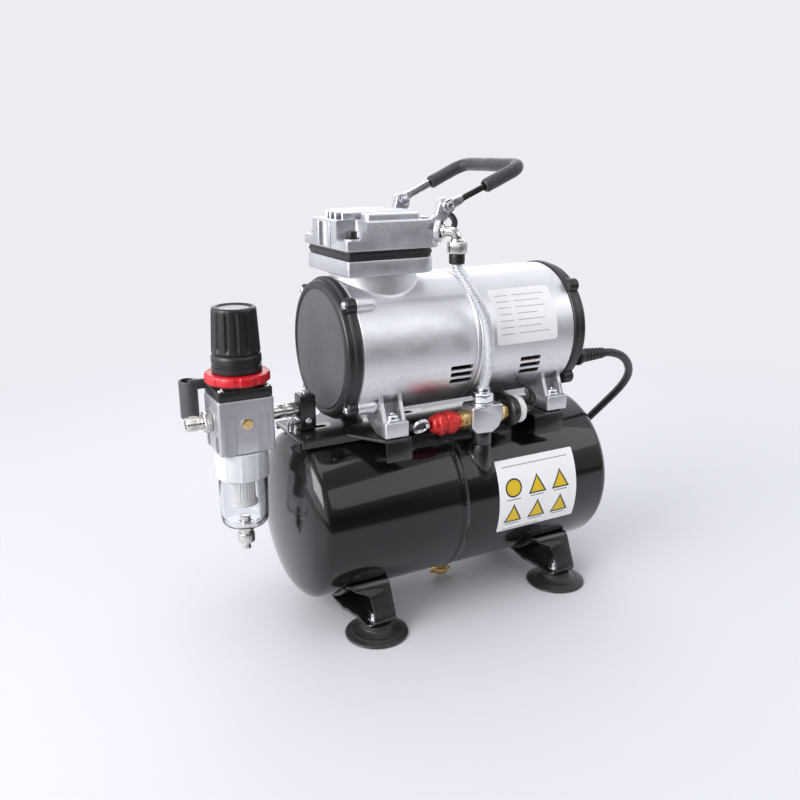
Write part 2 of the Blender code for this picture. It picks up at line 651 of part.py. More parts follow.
def outlet(M):
    """Outlet elbow on the head's front right corner, with the hose nut."""
    d = Vector((math.sqrt(0.5), -math.sqrt(0.5), 0))
    p = Vector((-20.2, -34.6, 278.0))
    path = [p + d * t for t in (0.5, 5.0)]
    q = p + d * 10.5
    for k in range(1, 6):
        a = math.radians(18 * k)
        path.append(q + d * (5.0 * math.sin(a) - 4.5) + Vector((0, 0, -5.0 * (1 - math.cos(a)))))
    end = path[-1]
    path.append(end + Vector((0, 0, -3)))
    ob = make("outlet_elbow", sweep(path, 4.2, 12))
    # union nut standing on the hose, then the ferrule below it
    cx, cy = end.x, end.y
    join(ob,
         prism(hexagon(7.0, cx, cy, 0.3), 263.5, 271.5, "Z", 0.5),
         lathe([(0, 256.5), (5.4, 256.5), (5.4, 264.5), (0, 264.5)], "Z", (cx, cy, 0), 12))
    cut(ob, lathe([(0, 250), (HOSE_D / 2 + 0.3, 250), (HOSE_D / 2 + 0.3, 259.5), (0, 259.5)], "Z", (cx, cy, 0), 12))
    finish(ob, M["nickel"], 30)
    return cx, cy


def air_hose(M, cx, cy):
    pts = [(cx, cy, 259.0), (cx + 0.05, cy - 0.05, 256.2), (cx + 0.9, cy - 1.0, 252.3),
           (-8.4, -46.8, 246.0), (-4.9, -50.4, 239.0), (-1.0, -53.4, 230.5), (3.6, -55.6, 219),
           (6.2, -56.2, 205), (7.6, -55.2, 191), (8.1, -52.2, 179), (8.0, -49.2, 171.5), (TEE_X, MAN_Y, 165.6), (TEE_X, MAN_Y, 161.0)]
    path = smooth_path(pts, 3)
    ob = make("air_hose", sweep(path, HOSE_D / 2, 10))
    finish(ob, M["hose_clear"], 40)


# --------------------------------------------------------------------- handle
def handle(M):
    def side(s):
        return [(-17.6, s * ARM_Y, 293.4), (-9, s * ARM_Y, 297.1), (2, s * 35.9, 302.0), (12, s * 36.4, 306.4),
                (24, s * 37.0, 311.7), (33, s * 37.4, 315.7)]

    corner = []
    for k in range(1, 6):
        a = math.radians(90 * k / 6)
        corner.append((33 + 9.2 * math.sin(a), 28.2 + 9.2 * math.cos(a), 315.7 + 4.1 * math.sin(a)))
    loop = side(1) + corner + [(42.2, 28.2, 319.8), (42.4, 14, 319.9), (42.4, 0, 319.9), (42.4, -14, 319.9),
                               (42.2, -28.2, 319.8)]
    loop += [(x, -y, z) for x, y, z in reversed(corner)] + list(reversed(side(-1)))
    bar = sweep(loop, 2.6, 8)
    ob = make("handle_bar", bar)
    tools = []
    for s in (-1, 1):
        tools.append(lathe([(0, s * 28.4), (2.4, s * 28.4), (2.4, s * 33.1), (4.9, s * 33.1), (4.9, s * 37.2),
                            (3.6, s * 37.2), (3.2, s * 39.0), (0, s * 39.3)], "Y",
                           (PIVOT[0], 0, PIVOT[1]), 12, 0.07))
    join(ob, *tools)
    finish(ob, M["steel"], 30)
    origin_at(ob, PIVOT[0], 0, PIVOT[1])

    grip = make("handle_grip", sweep(loop[3:-3], 5.0, 10, inner=3.15))
    finish(grip, M["foam_grey"], 40)
    origin_at(grip, PIVOT[0], 0, PIVOT[1])


# ------------------------------------------------------- manifold and switch
def manifold(M):
    c = (0, MAN_Y, MAN_Z)
    ob = make("tee_block", box(TEE_X - 13, TEE_X + 13, MAN_Y - 8, MAN_Y + 8, 136.5, 157.0, 1.6))
    join(ob,
         prism(hexagon(7.6, TEE_X, MAN_Y, 0.25), 156.0, 165.0, "Z", 0.5),
         lathe([(0, 112), (5.1, 112), (5.1, 127.3), (7.0, 127.3), (7.0, 138), (0, 138)], "Z", (TEE_X, MAN_Y, 0), 14))
    cut(ob, lathe([(0, 160.7), (HOSE_D / 2 + 0.3, 160.7), (HOSE_D / 2 + 0.3, 170), (0, 170)],
                  "Z", (TEE_X, MAN_Y, 0), 12))
    finish(ob, M["nickel"], 30)

    x1 = TEE_X - 13.3
    ob = make("safety_adapter", prism(hexagon(7.0, MAN_Y, MAN_Z, 0.2), x1 - 8.0, x1, "X", 0.5))
    finish(ob, M["brass"], 20)

    x2 = x1 - 8.3
    prof = [(0, x2 - 21.0), (5.0, x2 - 21.0), (6.2, x2 - 20.2), (6.2, x2 - 16.8), (8.2, x2 - 16.3), (8.2, x2 - 12.0),
            (7.0, x2 - 11.4), (7.0, x2 - 9.6), (8.2, x2 - 9.0), (8.2, x2 - 3.0), (7.0, x2 - 2.2), (7.0, x2), (0, x2)]
    ob = make("safety_valve", lathe(prof, "X", c, 18))
    cut(ob, lathe([(0, x2 - 30), (2.4, x2 - 30), (2.4, x2 - 15), (0, x2 - 15)], "X", c, 10))
    finish(ob, M["valve_red"], 30)

    # pull stem with its ring
    ring = []
    xc = x2 - 28.9
    for k in range(21):
        a = 2 * math.pi * k / 20
        ring.append((xc + 6.0 * math.cos(a), MAN_Y - 3.4 * math.sin(a), MAN_Z + 5.0 * math.sin(a)))
    bm = torus_sweep(ring[:-1], 0.9, 6)
    ob = make("pull_ring", bm)
    join(ob, lathe([(0, x2 - 25.6), (1.7, x2 - 25.6), (1.9, x2 - 24.8), (1.9, x2 - 17.6), (0, x2 - 17.6)], "X", c, 8))
    finish(ob, M["steel"], 40)
    origin_at(ob, x2 - 21.0, MAN_Y, MAN_Z)

    x3 = TEE_X + 13.3
    ob = make("switch_nipple", prism(hexagon(6.6, MAN_Y, MAN_Z + 1, 0.1), x3, x3 + 6.4, "X", 0.4))
    finish(ob, M["brass"], 20)
    x4 = x3 + 6.7
    cs = (0, MAN_Y, MAN_Z + 1)
    ob = make("pressure_switch", lathe([(0, x4), (9.0, x4), (11.2, x4 + 1.0), (11.2, x4 + 6.0), (10.2, x4 + 7.0),
                                        (0, x4 + 7.0)], "X", cs, 24))
    finish(ob, M["switch_black"], 30)
    x5 = x4 + 7.3
    ob = make("switch_cap", lathe([(0, x5), (9.6, x5), (9.6, x5 + 4.8), (8.8, x5 + 5.6), (5.2, x5 + 5.6),
                                   (5.2, x5 + 9.0), (0, x5 + 9.0)], "X", cs, 20))
    finish(ob, M["cap_white"], 30)


def torus_sweep(path, r, seg):
    """Closed loop of round section."""
    bm = bmesh.new()
    path = [Vector(p) for p in path]
    n = len(path)
    centre = sum(path, Vector()) / n
    normal = (path[0] - centre).cross(path[n // 4] - centre).normalized()
    rings = []
    for i in range(n):
        t = (path[(i + 1) % n] - path[i - 1]).normalized()
        out = normal.cross(t).normalized()
        up = t.cross(out)
        rings.append([bm.verts.new(path[i] + out * r * math.cos(2 * math.pi * k / seg)
                                   + up * r * math.sin(2 * math.pi * k / seg)) for k in range(seg)])
    for i in range(n):
        a, b = rings[i], rings[(i + 1) % n]
        for k in range(seg):
            bm.faces.new((a[k], a[(k + 1) % seg], b[(k + 1) % seg], b[k]))
    return bm


# ----------------------------------------------------------- filter-regulator
def regulator(M):
    x, z = REG_X, REG_PORT_Z
    ob = make("inlet_block", box(-114.0, -102.5, -6.0, 6.0, PLATE_Z + PLATE_T + 0.3, 168.0, 1.0))
    cut(ob, lathe([(0, -120), (3.2, -120), (3.2, -108), (0, -108)], "X", (0, 0, z), 10))
    finish(ob, M["sheet_black"], 30)

    ob = make("inlet_nipple", lathe([(0, -136.0), (3.0, -136.0), (6.2, -136.0), (6.2, -131.0), (4.6, -130.4), (4.6, -123.6),
                                     (6.6, -123.0), (6.6, -114.3), (3.0, -114.3), (3.0, -109.0), (0, -109.0)],
                                    "X", (0, 0, z), 14))
    finish(ob, M["nickel"], 30)

    ob = make("regulator_body", box(x - 19, x + 19, -16.5, 16.5, 136.6, 174.6, 1.2))
    cut(ob,
        box(x - 15.0, x - 6.5, -18, -15.2, 138.6, 166.0),
        box(x + 6.5, x + 15.0, -18, -15.2, 138.6, 166.0),
        lathe([(0, 120), (10.5, 120), (10.5, 150), (0, 150)], "Z", (x, 0, 0), 18),
        lathe([(0, x - 25), (3.5, x - 25), (3.5, x - 5), (0, x - 5)], "X", (0, 0, z), 10))
    join(ob, lathe([(0, -17.6), (3.9, -17.6), (4.3, -17.2), (4.3, -16.0), (0, -16.0)], "Y", (x, 0, z), 14))
    finish(ob, M["reg_zinc"], 30)

    ob = make("bonnet", box(x - 18.6, x + 18.6, -16.6, 16.6, 174.9, 183.2, 1.4))
    finish(ob, M["reg_black"], 30)
    ob = make("panel_ring", lathe([(0, 183.5), (20.6, 183.5), (21.7, 184.6), (21.7, 189.2), (20.6, 190.2), (0, 190.2)],
                                  "Z", (x, 0, 0), 30))
    finish(ob, M["ring_red"], 30)
    ob = make("lock_collar", lathe([(3.4, 190.5), (16.6, 190.5), (16.6, 201.0), (15.6, 202.8), (3.4, 202.8)],
                                   "Z", (x, 0, 0), 26))
    finish(ob, M["reg_black"], 30)
    ob = make("adjusting_spindle", lathe([(0, 190.6), (3.0, 190.6), (3.0, 221.0), (2.4, 221.6), (0, 221.6)],
                                         "Z", (x, 0, 0), 12))
    finish(ob, M["steel"], 30)
    origin_at(ob, x, 0, 205)

    # fluted knob, hollow underneath so it can travel on the spindle
    bm = bmesh.new()
    n = 54
    levels = [(203.2, 15.9, 0.0), (204.6, 16.1, 0.0), (206.5, 15.9, 0.75), (229.5, 14.8, 0.75), (231.4, 14.5, 0.0),
              (233.4, 13.6, 0.0)]
    rings = []
    for hz, r, depth in levels:
        ring = []
        for k in range(n):
            a = 2 * math.pi * k / n
            rr = r - (depth if k % 3 == 0 else 0.0)
            ring.append(bm.verts.new((x + rr * math.cos(a), rr * math.sin(a), hz)))
        rings.append(ring)
    dish = [bm.verts.new((x + 11.6 * math.cos(2 * math.pi * k / n), 11.6 * math.sin(2 * math.pi * k / n), 233.4))
            for k in range(n)]
    rings.append(dish)
    floor = [bm.verts.new((x + 11.0 * math.cos(2 * math.pi * k / n), 11.0 * math.sin(2 * math.pi * k / n), 232.0))
             for k in range(n)]
    rings.append(floor)
    for a, b in zip(rings, rings[1:]):
        for k in range(n):
            bm.faces.new((a[k], a[(k + 1) % n], b[(k + 1) % n], b[k]))
    bm.faces.new(rings[0])
    bm.faces.new(rings[-1])
    ob = make("regulator_knob", bm)
    cut(ob, lathe([(0, 200), (3.3, 200), (3.3, 226.0), (0, 226.0)], "Z", (x, 0, 0), 12))
    finish(ob, M["reg_black"], 30)
    origin_at(ob, x, 0, 205)

    ob = make("outlet_nipple", prism(hexagon(8.2, 0, z, 0.0), x - 26.0, x - 19.3, "X", 0.5))
    join(ob, lathe([(0, x - 36.6), (5.9, x - 36.6), (6.6, x - 35.9), (6.6, x - 27.2), (5.6, x - 26.6), (5.6, x - 25.0),
                    (0, x - 25.0)], "X", (0, 0, z), 18))
    cut(ob, lathe([(0, x - 40), (3.3, x - 40), (3.3, x - 10), (0, x - 10)], "X", (0, 0, z), 12))
    finish(ob, M["nickel"], 30)

    ob = make("filter_bowl", lathe([
        (4.2, 80.4), (12.0, 80.4), (14.8, 81.6), (16.0, 84.0), (16.6, 90.0), (16.8, 116.2), (18.2, 117.0), (18.2, 135.8),
        (17.4, 136.3), (14.9, 136.3), (14.9, 116.0), (14.8, 90.0), (14.2, 85.2), (11.6, 82.6), (4.2, 82.4)],
        "Z", (x, 0, 0), 26))
    finish(ob, M["bowl_clear"], 30)
    ob = make("filter_element", lathe([(0, 96.0), (9.6, 96.0), (9.6, 98.4), (8.2, 98.6), (8.2, 122.0), (10.6, 122.2),
                                       (10.6, 124.6), (4.6, 125.4), (4.6, 146.0), (0, 146.0)], "Z", (x, 0, 0), 18))
    finish(ob, M["filter_white"], 30)
    ob = make("bowl_drain", lathe([(0, 61.0), (3.0, 61.0), (3.0, 66.0), (5.2, 66.4), (5.9, 67.4), (5.9, 73.6), (4.4, 74.2),
                                   (4.4, 76.0), (6.4, 76.4), (6.4, 80.1), (3.6, 80.1), (3.6, 86.5), (0, 86.5)],
                                  "Z", (x, 0, 0), 14))
    finish(ob, M["nickel"], 30)
    origin_at(ob, x, 0, 78)

    # airbrush holder: open oval cup on a strap behind the bonnet
    cx, cy = -182.6, 24.6
    oval = [(cx + 6.2 * math.cos(2 * math.pi * k / 28), cy + 7.8 * math.sin(2 * math.pi * k / 28)) for k in range(28)]
    hole = [(cx + 4.6 * math.cos(2 * math.pi * k / 28), cy + 6.2 * math.sin(2 * math.pi * k / 28)) for k in range(28)]
    ob = make("airbrush_holder", prism(oval, 155.0, 181.0, "Z", 0.5))
    join(ob, prism([(-184.0, 17.0), (-142.0, 17.0), (-142.0, 19.6), (-176.0, 19.6), (-180.0, 25.0), (-184.0, 25.0)],
                   175.4, 182.9, "Z"))
    cut(ob, prism(hole, 140.0, 190.0, "Z"))
    finish(ob, M["holder_rubber"], 30)


# ----------------------------------------------------------------- mains lead
def mains_lead(M):
    x = COVER_REAR_X + 0.3
    ob = make("strain_relief", lathe([(0, x), (7.0, x), (7.0, x + 3.0), (5.6, x + 4.0), (4.2, x + 26.0), (0, x + 26.0)],
                                     "X", (0, CORD_Y, CORD_Z), 12))
    finish(ob, M["cord_black"], 30)

    pts = [(x + 26.3, CORD_Y, CORD_Z), (x + 36, CORD_Y + 0.6, 177.0), (x + 49, -33.5, 172.4), (x + 62, -27.5, 163.5),
           (x + 73, -18.0, 151.0), (x + 78, -4.5, 135.5), (x + 75, 13.0, 115.0), (x + 65, 33.0, 88.0),
           (x + 52, 52.0, 58.0), (x + 40, 68.0, 33.0), (x + 30, 80.0, 15.0), (x + 22, 89.0, 5.8), (x + 14, 97.5, 3.6),
           (x + 9.6, 106.0, 3.6)]
    route = smooth_path(pts, 3)
    cu = bpy.data.curves.new("power_cord", "CURVE")
    cu.dimensions = "3D"
    cu.bevel_depth = CORD_D / 2 * MM
    cu.bevel_resolution = 2
    cu.use_fill_caps = True
    cu.resolution_u = 1
    sp = cu.splines.new("POLY")
    sp.points.add(len(route) - 1)
    for p, q in zip(sp.points, route):
        p.co = (q.x * MM, q.y * MM, q.z * MM, 1.0)
    cu.materials.append(M["cord_black"])
    ob = bpy.data.objects.new("power_cord", cu)
    bpy.context.collection.objects.link(ob)

    ob = make("cord_coil", lathe([(COIL_IN, 1.5), (COIL_IN + 1.5, 0.3), (COIL_OUT - 1.5, 0.3), (COIL_OUT, 1.5),
                                  (COIL_OUT, COIL_H - 1.5), (COIL_OUT - 1.5, COIL_H), (COIL_IN + 1.5, COIL_H),
                                  (COIL_IN, COIL_H - 1.5)], "Z", (COIL_X, COIL_Y, 0), 30))
    finish(ob, M["cord_black"], 30)

    # moulded plug lying flat beside the coil, its pins towards the tank
    px, py, pz = COIL_X - 65.0, COIL_Y + 20.0, 10.2
    body = [(6.0, 0.0), (6.5, -6.0), (9.5, -12.0), (13.0, -20.0), (14.2, -30.0), (14.2, -34.0), (-14.2, -34.0),
            (-14.2, -30.0), (-13.0, -20.0), (-9.5, -12.0), (-6.5, -6.0), (-6.0, 0.0)]
    out = [(px + a, py + b - 6.0) for a, b in body]
    ob = make("power_plug", prism(out, pz - 9.0, pz + 9.0, "Z", 2.0))
    join(ob, *[lathe([(0, -19), (1.6, -19), (2.4, -18), (2.4, 1), (0, 1)], "Y", (px + s * 9.5, py - 40.0, pz), 8)
               for s in (-1, 1)])
    finish(ob, M["plug_black"], 30)


# ---------------------------------------------------------------------- build
def build():
    clear_scene()
    M = materials()
    tank(M)
    for fx, sx in (("left", -1), ("right", 1)):
        for fy, sy in (("front", -1), ("rear", 1)):
            leg(f"leg_{fy}_{fx}", sx, sy, M)
            foot(f"suction_foot_{fy}_{fx}", sx, sy, M)
    tank_drain(M)
    motor_plate(M)
    for fx, x in (("left", MOUNT_X[0]), ("right", MOUNT_X[1])):
        for fy, sy in (("front", -1), ("rear", 1)):
            mount_bolt(f"mount_bolt_{fy}_{fx}", x, sy * MOUNT_Y, M)
    crankcase(M)
    motor_can(M)
    cover("front_cover", COVER_FRONT_X, CASE_X0 - 0.3, M)
    cover("rear_cover", COVER_REAR_X, CAN_X1 + 0.3, M)
    drive(M)
    pump_head(M)
    cx, cy = outlet(M)
    air_hose(M, cx, cy)
    handle(M)
    manifold(M)
    regulator(M)
    mains_lead(M)
    for ob in bpy.data.objects:
        ob.location.x += SHIFT_X * MM


build()
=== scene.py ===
"""Looks of the airbrush compressor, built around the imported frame.

Shapes are drawn in millimetres in the tank's own frame (tank middle at x = 0)
and moved into the frame's metres by place().
"""
import math

import bmesh
import bpy
from mathutils import Matrix, Vector


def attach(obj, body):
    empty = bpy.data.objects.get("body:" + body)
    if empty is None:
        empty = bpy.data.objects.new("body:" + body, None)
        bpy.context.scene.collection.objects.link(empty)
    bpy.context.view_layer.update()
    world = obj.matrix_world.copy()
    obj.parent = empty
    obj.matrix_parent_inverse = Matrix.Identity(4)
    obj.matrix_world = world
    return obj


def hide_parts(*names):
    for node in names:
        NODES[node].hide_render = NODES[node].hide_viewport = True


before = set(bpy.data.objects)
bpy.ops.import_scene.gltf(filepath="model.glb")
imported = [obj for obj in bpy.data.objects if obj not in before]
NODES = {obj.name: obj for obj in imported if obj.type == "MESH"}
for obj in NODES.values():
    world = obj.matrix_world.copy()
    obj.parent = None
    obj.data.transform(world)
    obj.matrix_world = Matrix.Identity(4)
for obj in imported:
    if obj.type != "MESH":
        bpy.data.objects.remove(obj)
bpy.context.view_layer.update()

MM = 0.001
SHIFT = 30.8

TANK_R, TANK_Z = 61.0, 79.0
MOTOR_R, MOTOR_Z = 48.5, 198.2
HX = -55.0
MAN_Y, MAN_Z, TEE_X = -48.0, 147.0, 8.0
REG_X, PORT_Z = -155.6, 158.0
SEAM_X = -12.0
FOOT_X, FOOT_Y = 80.0, 52.0
MOUNT_X, MOUNT_Y = (-62.0, 74.0), 42.0
PIVOT = (-15.0, 294.5)
CORD_D, CORD_Y, CORD_Z = 6.5, -36.5, 178.0
COIL_X, COIL_Y = 62.0, 122.0


def V(*p):
    """Tank-frame millimetres to frame metres."""
    return Vector(((p[0] + SHIFT) * MM, p[1] * MM, p[2] * MM))


# ======================================================================
# camera, floor and light
# ======================================================================
def stage_and_camera():
    scene = bpy.context.scene
    az, el = math.radians(-28.43), math.radians(16.61)
    back = Vector((math.sin(az) * math.cos(el), -math.cos(az) * math.cos(el), math.sin(el)))
    cam = bpy.data.cameras.new("camera")
    cam.sensor_width = 36.0
    cam.lens = 37.83
    cam.clip_start = 0.01
    co = bpy.data.objects.new("camera", cam)
    scene.collection.objects.link(co)
    co.location = V(-33.0, 0, 152.5) + back * 0.6228
    co.rotation_euler = (-back).to_track_quat("-Z", "Y").to_euler()
    scene.camera = co
    scene.view_settings.view_transform = "Standard"
    scene.view_settings.exposure = 0.0

    # pale floor
    bm = bmesh.new()
    bmesh.ops.create_grid(bm, x_segments=2, y_segments=2, size=6.0)
    me = bpy.data.meshes.new("floor")
    bm.to_mesh(me)
    bm.free()
    floor = bpy.data.objects.new("floor", me)
    floor.location.z = -0.0002
    scene.collection.objects.link(floor)
    m = bpy.data.materials.new("floor_paper")
    m.use_nodes = True
    t = m.node_tree
    b = t.nodes["Principled BSDF"]
    b.inputs["Roughness"].default_value = 0.6
    n = t.nodes.new("ShaderNodeTexNoise")
    n.inputs["Scale"].default_value = 3.0
    r = t.nodes.new("ShaderNodeValToRGB")
    r.color_ramp.elements[0].color = (0.60, 0.60, 0.632, 1)
    r.color_ramp.elements[1].color = (0.64, 0.64, 0.672, 1)
    t.links.new(n.outputs["Fac"], r.inputs["Fac"])
    t.links.new(r.outputs["Color"], b.inputs["Base Color"])
    # the paper runs on into the pale studio background
    far = t.nodes.new("ShaderNodeEmission")
    far.inputs["Color"].default_value = (0.86, 0.865, 0.91, 1)
    far.inputs["Strength"].default_value = 0.98
    tc = t.nodes.new("ShaderNodeTexCoord")
    ln = t.nodes.new("ShaderNodeVectorMath")
    ln.operation = "LENGTH"
    t.links.new(tc.outputs["Object"], ln.inputs[0])
    mr = t.nodes.new("ShaderNodeMapRange")
    mr.interpolation_type = "SMOOTHSTEP"
    mr.inputs["From Min"].default_value = 0.25
    mr.inputs["From Max"].default_value = 1.15
    t.links.new(ln.outputs["Value"], mr.inputs["Value"])
    blend = t.nodes.new("ShaderNodeMixShader")
    t.links.new(mr.outputs[0], blend.inputs[0])
    t.links.new(b.outputs[0], blend.inputs[1])
    t.links.new(far.outputs[0], blend.inputs[2])
    # in front of the object the paper ends and the darker room is what gloss and light pick up
    room = t.nodes.new("ShaderNodeEmission")
    room.inputs["Color"].default_value = (0.012, 0.012, 0.014, 1)
    at = t.nodes.new("ShaderNodeSeparateXYZ")
    t.links.new(tc.outputs["Object"], at.inputs[0])
    edge = t.nodes.new("ShaderNodeMapRange")
    edge.interpolation_type = "SMOOTHSTEP"
    edge.inputs["From Min"].default_value = -0.40
    edge.inputs["From Max"].default_value = -0.80
    edge.inputs["To Max"].default_value = 0.92
    t.links.new(at.outputs["Y"], edge.inputs["Value"])
    ray = t.nodes.new("ShaderNodeLightPath")
    away = t.nodes.new("ShaderNodeMath")
    away.operation = "SUBTRACT"
    away.inputs[0].default_value = 1.0
    t.links.new(ray.outputs["Is Camera Ray"], away.inputs[1])
    part = t.nodes.new("ShaderNodeMath")
    part.operation = "MULTIPLY"
    t.links.new(edge.outputs[0], part.inputs[0])
    t.links.new(away.outputs[0], part.inputs[1])
    cut = t.nodes.new("ShaderNodeMixShader")
    t.links.new(part.outputs[0], cut.inputs[0])
    t.links.new(blend.outputs[0], cut.inputs[1])
    t.links.new(room.outputs[0], cut.inputs[2])
    t.links.new(cut.outputs[0], t.nodes["Material Output"].inputs["Surface"])
    me.materials.append(m)

    # world: pale where it is seen, a softer studio surround for light and gloss
    w = bpy.data.worlds.new("studio")
    scene.world = w
    w.use_nodes = True
    t = w.node_tree
    t.nodes.clear()
    out = t.nodes.new("ShaderNodeOutputWorld")
    tc = t.nodes.new("ShaderNodeTexCoord")
    sep = t.nodes.new("ShaderNodeSeparateXYZ")
    t.links.new(tc.outputs["Generated"], sep.inputs[0])
    ry = t.nodes.new("ShaderNodeMapRange")
    ry.inputs["From Min"].default_value = -0.75
    ry.inputs["From Max"].default_value = 0.55
    ry.inputs["To Min"].default_value = 0.05
    ry.inputs["To Max"].default_value = 0.95
    ry.interpolation_type = "SMOOTHSTEP"
    t.links.new(sep.outputs["Y"], ry.inputs["Value"])
    rx = t.nodes.new("ShaderNodeMapRange")
    rx.inputs["From Min"].default_value = 0.35
    rx.inputs["From Max"].default_value = 0.95
    rx.inputs["To Min"].default_value = 0.0
    rx.inputs["To Max"].default_value = 0.55
    ax = t.nodes.new("ShaderNodeMath")
    ax.operation = "ABSOLUTE"
    t.links.new(sep.outputs["X"], ax.inputs[0])
    t.links.new(ax.outputs[0], rx.inputs["Value"])
    add = t.nodes.new("ShaderNodeMath")
    add.operation = "ADD"
    t.links.new(ry.outputs[0], add.inputs[0])
    t.links.new(rx.outputs[0], add.inputs[1])
    # dark near the horizon on the side facing the object, paler above it
    rz = t.nodes.new("ShaderNodeMapRange")
    rz.interpolation_type = "SMOOTHSTEP"
    rz.inputs["From Min"].default_value = 0.10
    rz.inputs["From Max"].default_value = 0.50
    rz.inputs["To Min"].default_value = 0.0
    rz.inputs["To Max"].default_value = 0.42
    t.links.new(sep.outputs["Z"], rz.inputs["Value"])
    front = t.nodes.new("ShaderNodeMapRange")
    front.inputs["From Min"].default_value = -0.75
    front.inputs["From Max"].default_value = 0.1
    front.inputs["To Min"].default_value = 1.0
    front.inputs["To Max"].default_value = 0.0
    t.links.new(sep.outputs["Y"], front.inputs["Value"])
    up = t.nodes.new("ShaderNodeMath")
    up.operation = "MULTIPLY"
    t.links.new(rz.outputs[0], up.inputs[0])
    t.links.new(front.outputs[0], up.inputs[1])
    near = t.nodes.new("ShaderNodeMath")
    near.operation = "ADD"
    t.links.new(add.outputs[0], near.inputs[0])
    t.links.new(up.outputs[0], near.inputs[1])
    # a brighter white wall on the left
    left = t.nodes.new("ShaderNodeMapRange")
    left.interpolation_type = "SMOOTHSTEP"
    left.inputs["From Min"].default_value = -0.35
    left.inputs["From Max"].default_value = -0.90
    left.inputs["To Min"].default_value = 0.0
    left.inputs["To Max"].default_value = 0.90
    t.links.new(sep.outputs["X"], left.inputs["Value"])
    total = t.nodes.new("ShaderNodeMath")
    total.operation = "ADD"
    t.links.new(near.outputs[0], total.inputs[0])
    t.links.new(left.outputs[0], total.inputs[1])
    soft = t.nodes.new("ShaderNodeBackground")
    soft.inputs["Color"].default_value = (0.86, 0.875, 0.94, 1)
    t.links.new(total.outputs[0], soft.inputs["Strength"])
    seen = t.nodes.new("ShaderNodeBackground")
    seen.inputs["Color"].default_value = (0.86, 0.865, 0.91, 1)
    seen.inputs["Strength"].default_value = 0.98
    lp = t.nodes.new("ShaderNodeLightPath")
    mix = t.nodes.new("ShaderNodeMixShader")
    t.links.new(lp.outputs["Is Camera Ray"], mix.inputs[0])
    t.links.new(soft.outputs[0], mix.inputs[1])
    t.links.new(seen.outputs[0], mix.inputs[2])
    t.links.new(mix.outputs[0], out.inputs["Surface"])

    def area(name, loc, target, size, size_y, power, colour=(1, 1, 1)):
        li = bpy.data.lights.new(name, "AREA")
        li.shape = "RECTANGLE"
        li.size, li.size_y = size, size_y
        li.energy = power
        li.color = colour
        ob = bpy.data.objects.new(name, li)
        ob.location = loc
        ob.rotation_euler = (Vector(target) - Vector(loc)).to_track_quat("-Z", "Y").to_euler()
        scene.collection.objects.link(ob)
        return ob

    area("key_left", (-1.35, -0.28, 0.80), (0.0, 0, 0.15), 1.0, 0.8, 17.5, (1.0, 0.99, 0.97))
    area("top_strip", (0.1, -0.10, 1.35), (0.0, 0, 0.15), 1.3, 0.55, 3.6, (0.97, 0.98, 1.0))
    area("fill_right", (0.78, -1.02, 1.0), (0.02, 0, 0.12), 1.7, 0.75, 4.7, (0.96, 0.97, 1.0))
    area("rear", (0.5, 1.2, 0.9), (0.0, 0, 0.15), 1.1, 0.8, 5, (1, 1, 1))


stage_and_camera()


# ======================================================================
# mesh helpers
# ======================================================================
AXES = {
    "X": Matrix(((0, 0, 1), (0, 1, 0), (-1, 0, 0))),
    "Y": Matrix(((1, 0, 0), (0, 0, 1), (0, -1, 0))),
    "Z": Matrix.Identity(3),
}
TURN = [0]


def fillet(pts, r=0.6, n=4, closed=False):
    """Round the corners of an outline of (a, b) points; r is one radius or one for each point."""
    out = []
    count = len(pts)
    for i, p in enumerate(pts):
        rad = r[i] if isinstance(r, (list, tuple)) else r
        if rad <= 0 or (not closed and i in (0, count - 1)):
            out.append((p[0], p[1]))
            continue
        b = Vector(p[:2])
        u = Vector(pts[i - 1][:2]) - b
        v = Vector(pts[(i + 1) % count][:2]) - b
        lu, lv = u.length, v.length
        if lu < 1e-6 or lv < 1e-6:
            continue
        u /= lu
        v /= lv
        ang = math.acos(max(-1.0, min(1.0, u.dot(v))))
        if ang > math.radians(172) or ang < 0.02:
            out.append((p[0], p[1]))
            continue
        d = min(rad / math.tan(ang / 2), 0.46 * lu, 0.46 * lv)
        rr = d * math.tan(ang / 2)
        c = b + (u + v).normalized() * (rr / math.sin(ang / 2))
        s, e = b + u * d, b + v * d
        a0 = math.atan2(s.y - c.y, s.x - c.x)
        a1 = math.atan2(e.y - c.y, e.x - c.x)
        da = (a1 - a0 + math.pi) % (2 * math.pi) - math.pi
        out += [(c.x + rr * math.cos(a0 + da * k / n), c.y + rr * math.sin(a0 + da * k / n)) for k in range(n + 1)]
    return out


def bridge(bm, a, b, n):
    for i in range(n):
        j = (i + 1) % n
        q = [a[i % len(a)], a[j % len(a)], b[j % len(b)], b[i % len(b)]]
        u = []
        for v in q:
            if v not in u:
                u.append(v)
        if len(u) > 2:
            bm.faces.new(u)


def lathe(profile, axis="Z", at=(0, 0, 0), seg=64, r=0.0, n=4, polar=None, bm=None):
    """Revolve (radius, height) points with their corners rounded by r.

    polar(angle, height, radius) may change the radius, for flutes and knurls.
    """
    bm = bm or bmesh.new()
    closed = profile[0][0] > 1e-6
    if r:
        profile = fillet(profile, r, n, closed)
    TURN[0] += 1
    phase = 0.0 if polar else 0.031 + 0.0173 * (TURN[0] % 11)
    rot = AXES[axis]
    at = Vector(at)
    rings = []
    for rad, h in profile:
        if rad <= 1e-6:
            rings.append([bm.verts.new(rot @ Vector((0, 0, h)) + at)])
        else:
            ring = []
            for i in range(seg):
                a = phase + 2 * math.pi * i / seg
                q = polar(a, h, rad) if polar else rad
                ring.append(bm.verts.new(rot @ Vector((q * math.cos(a), q * math.sin(a), h)) + at))
            rings.append(ring)
    for a, b in zip(rings, rings[1:]):
        bridge(bm, a, b, seg)
    if closed:
        bridge(bm, rings[-1], rings[0], seg)
    return bm


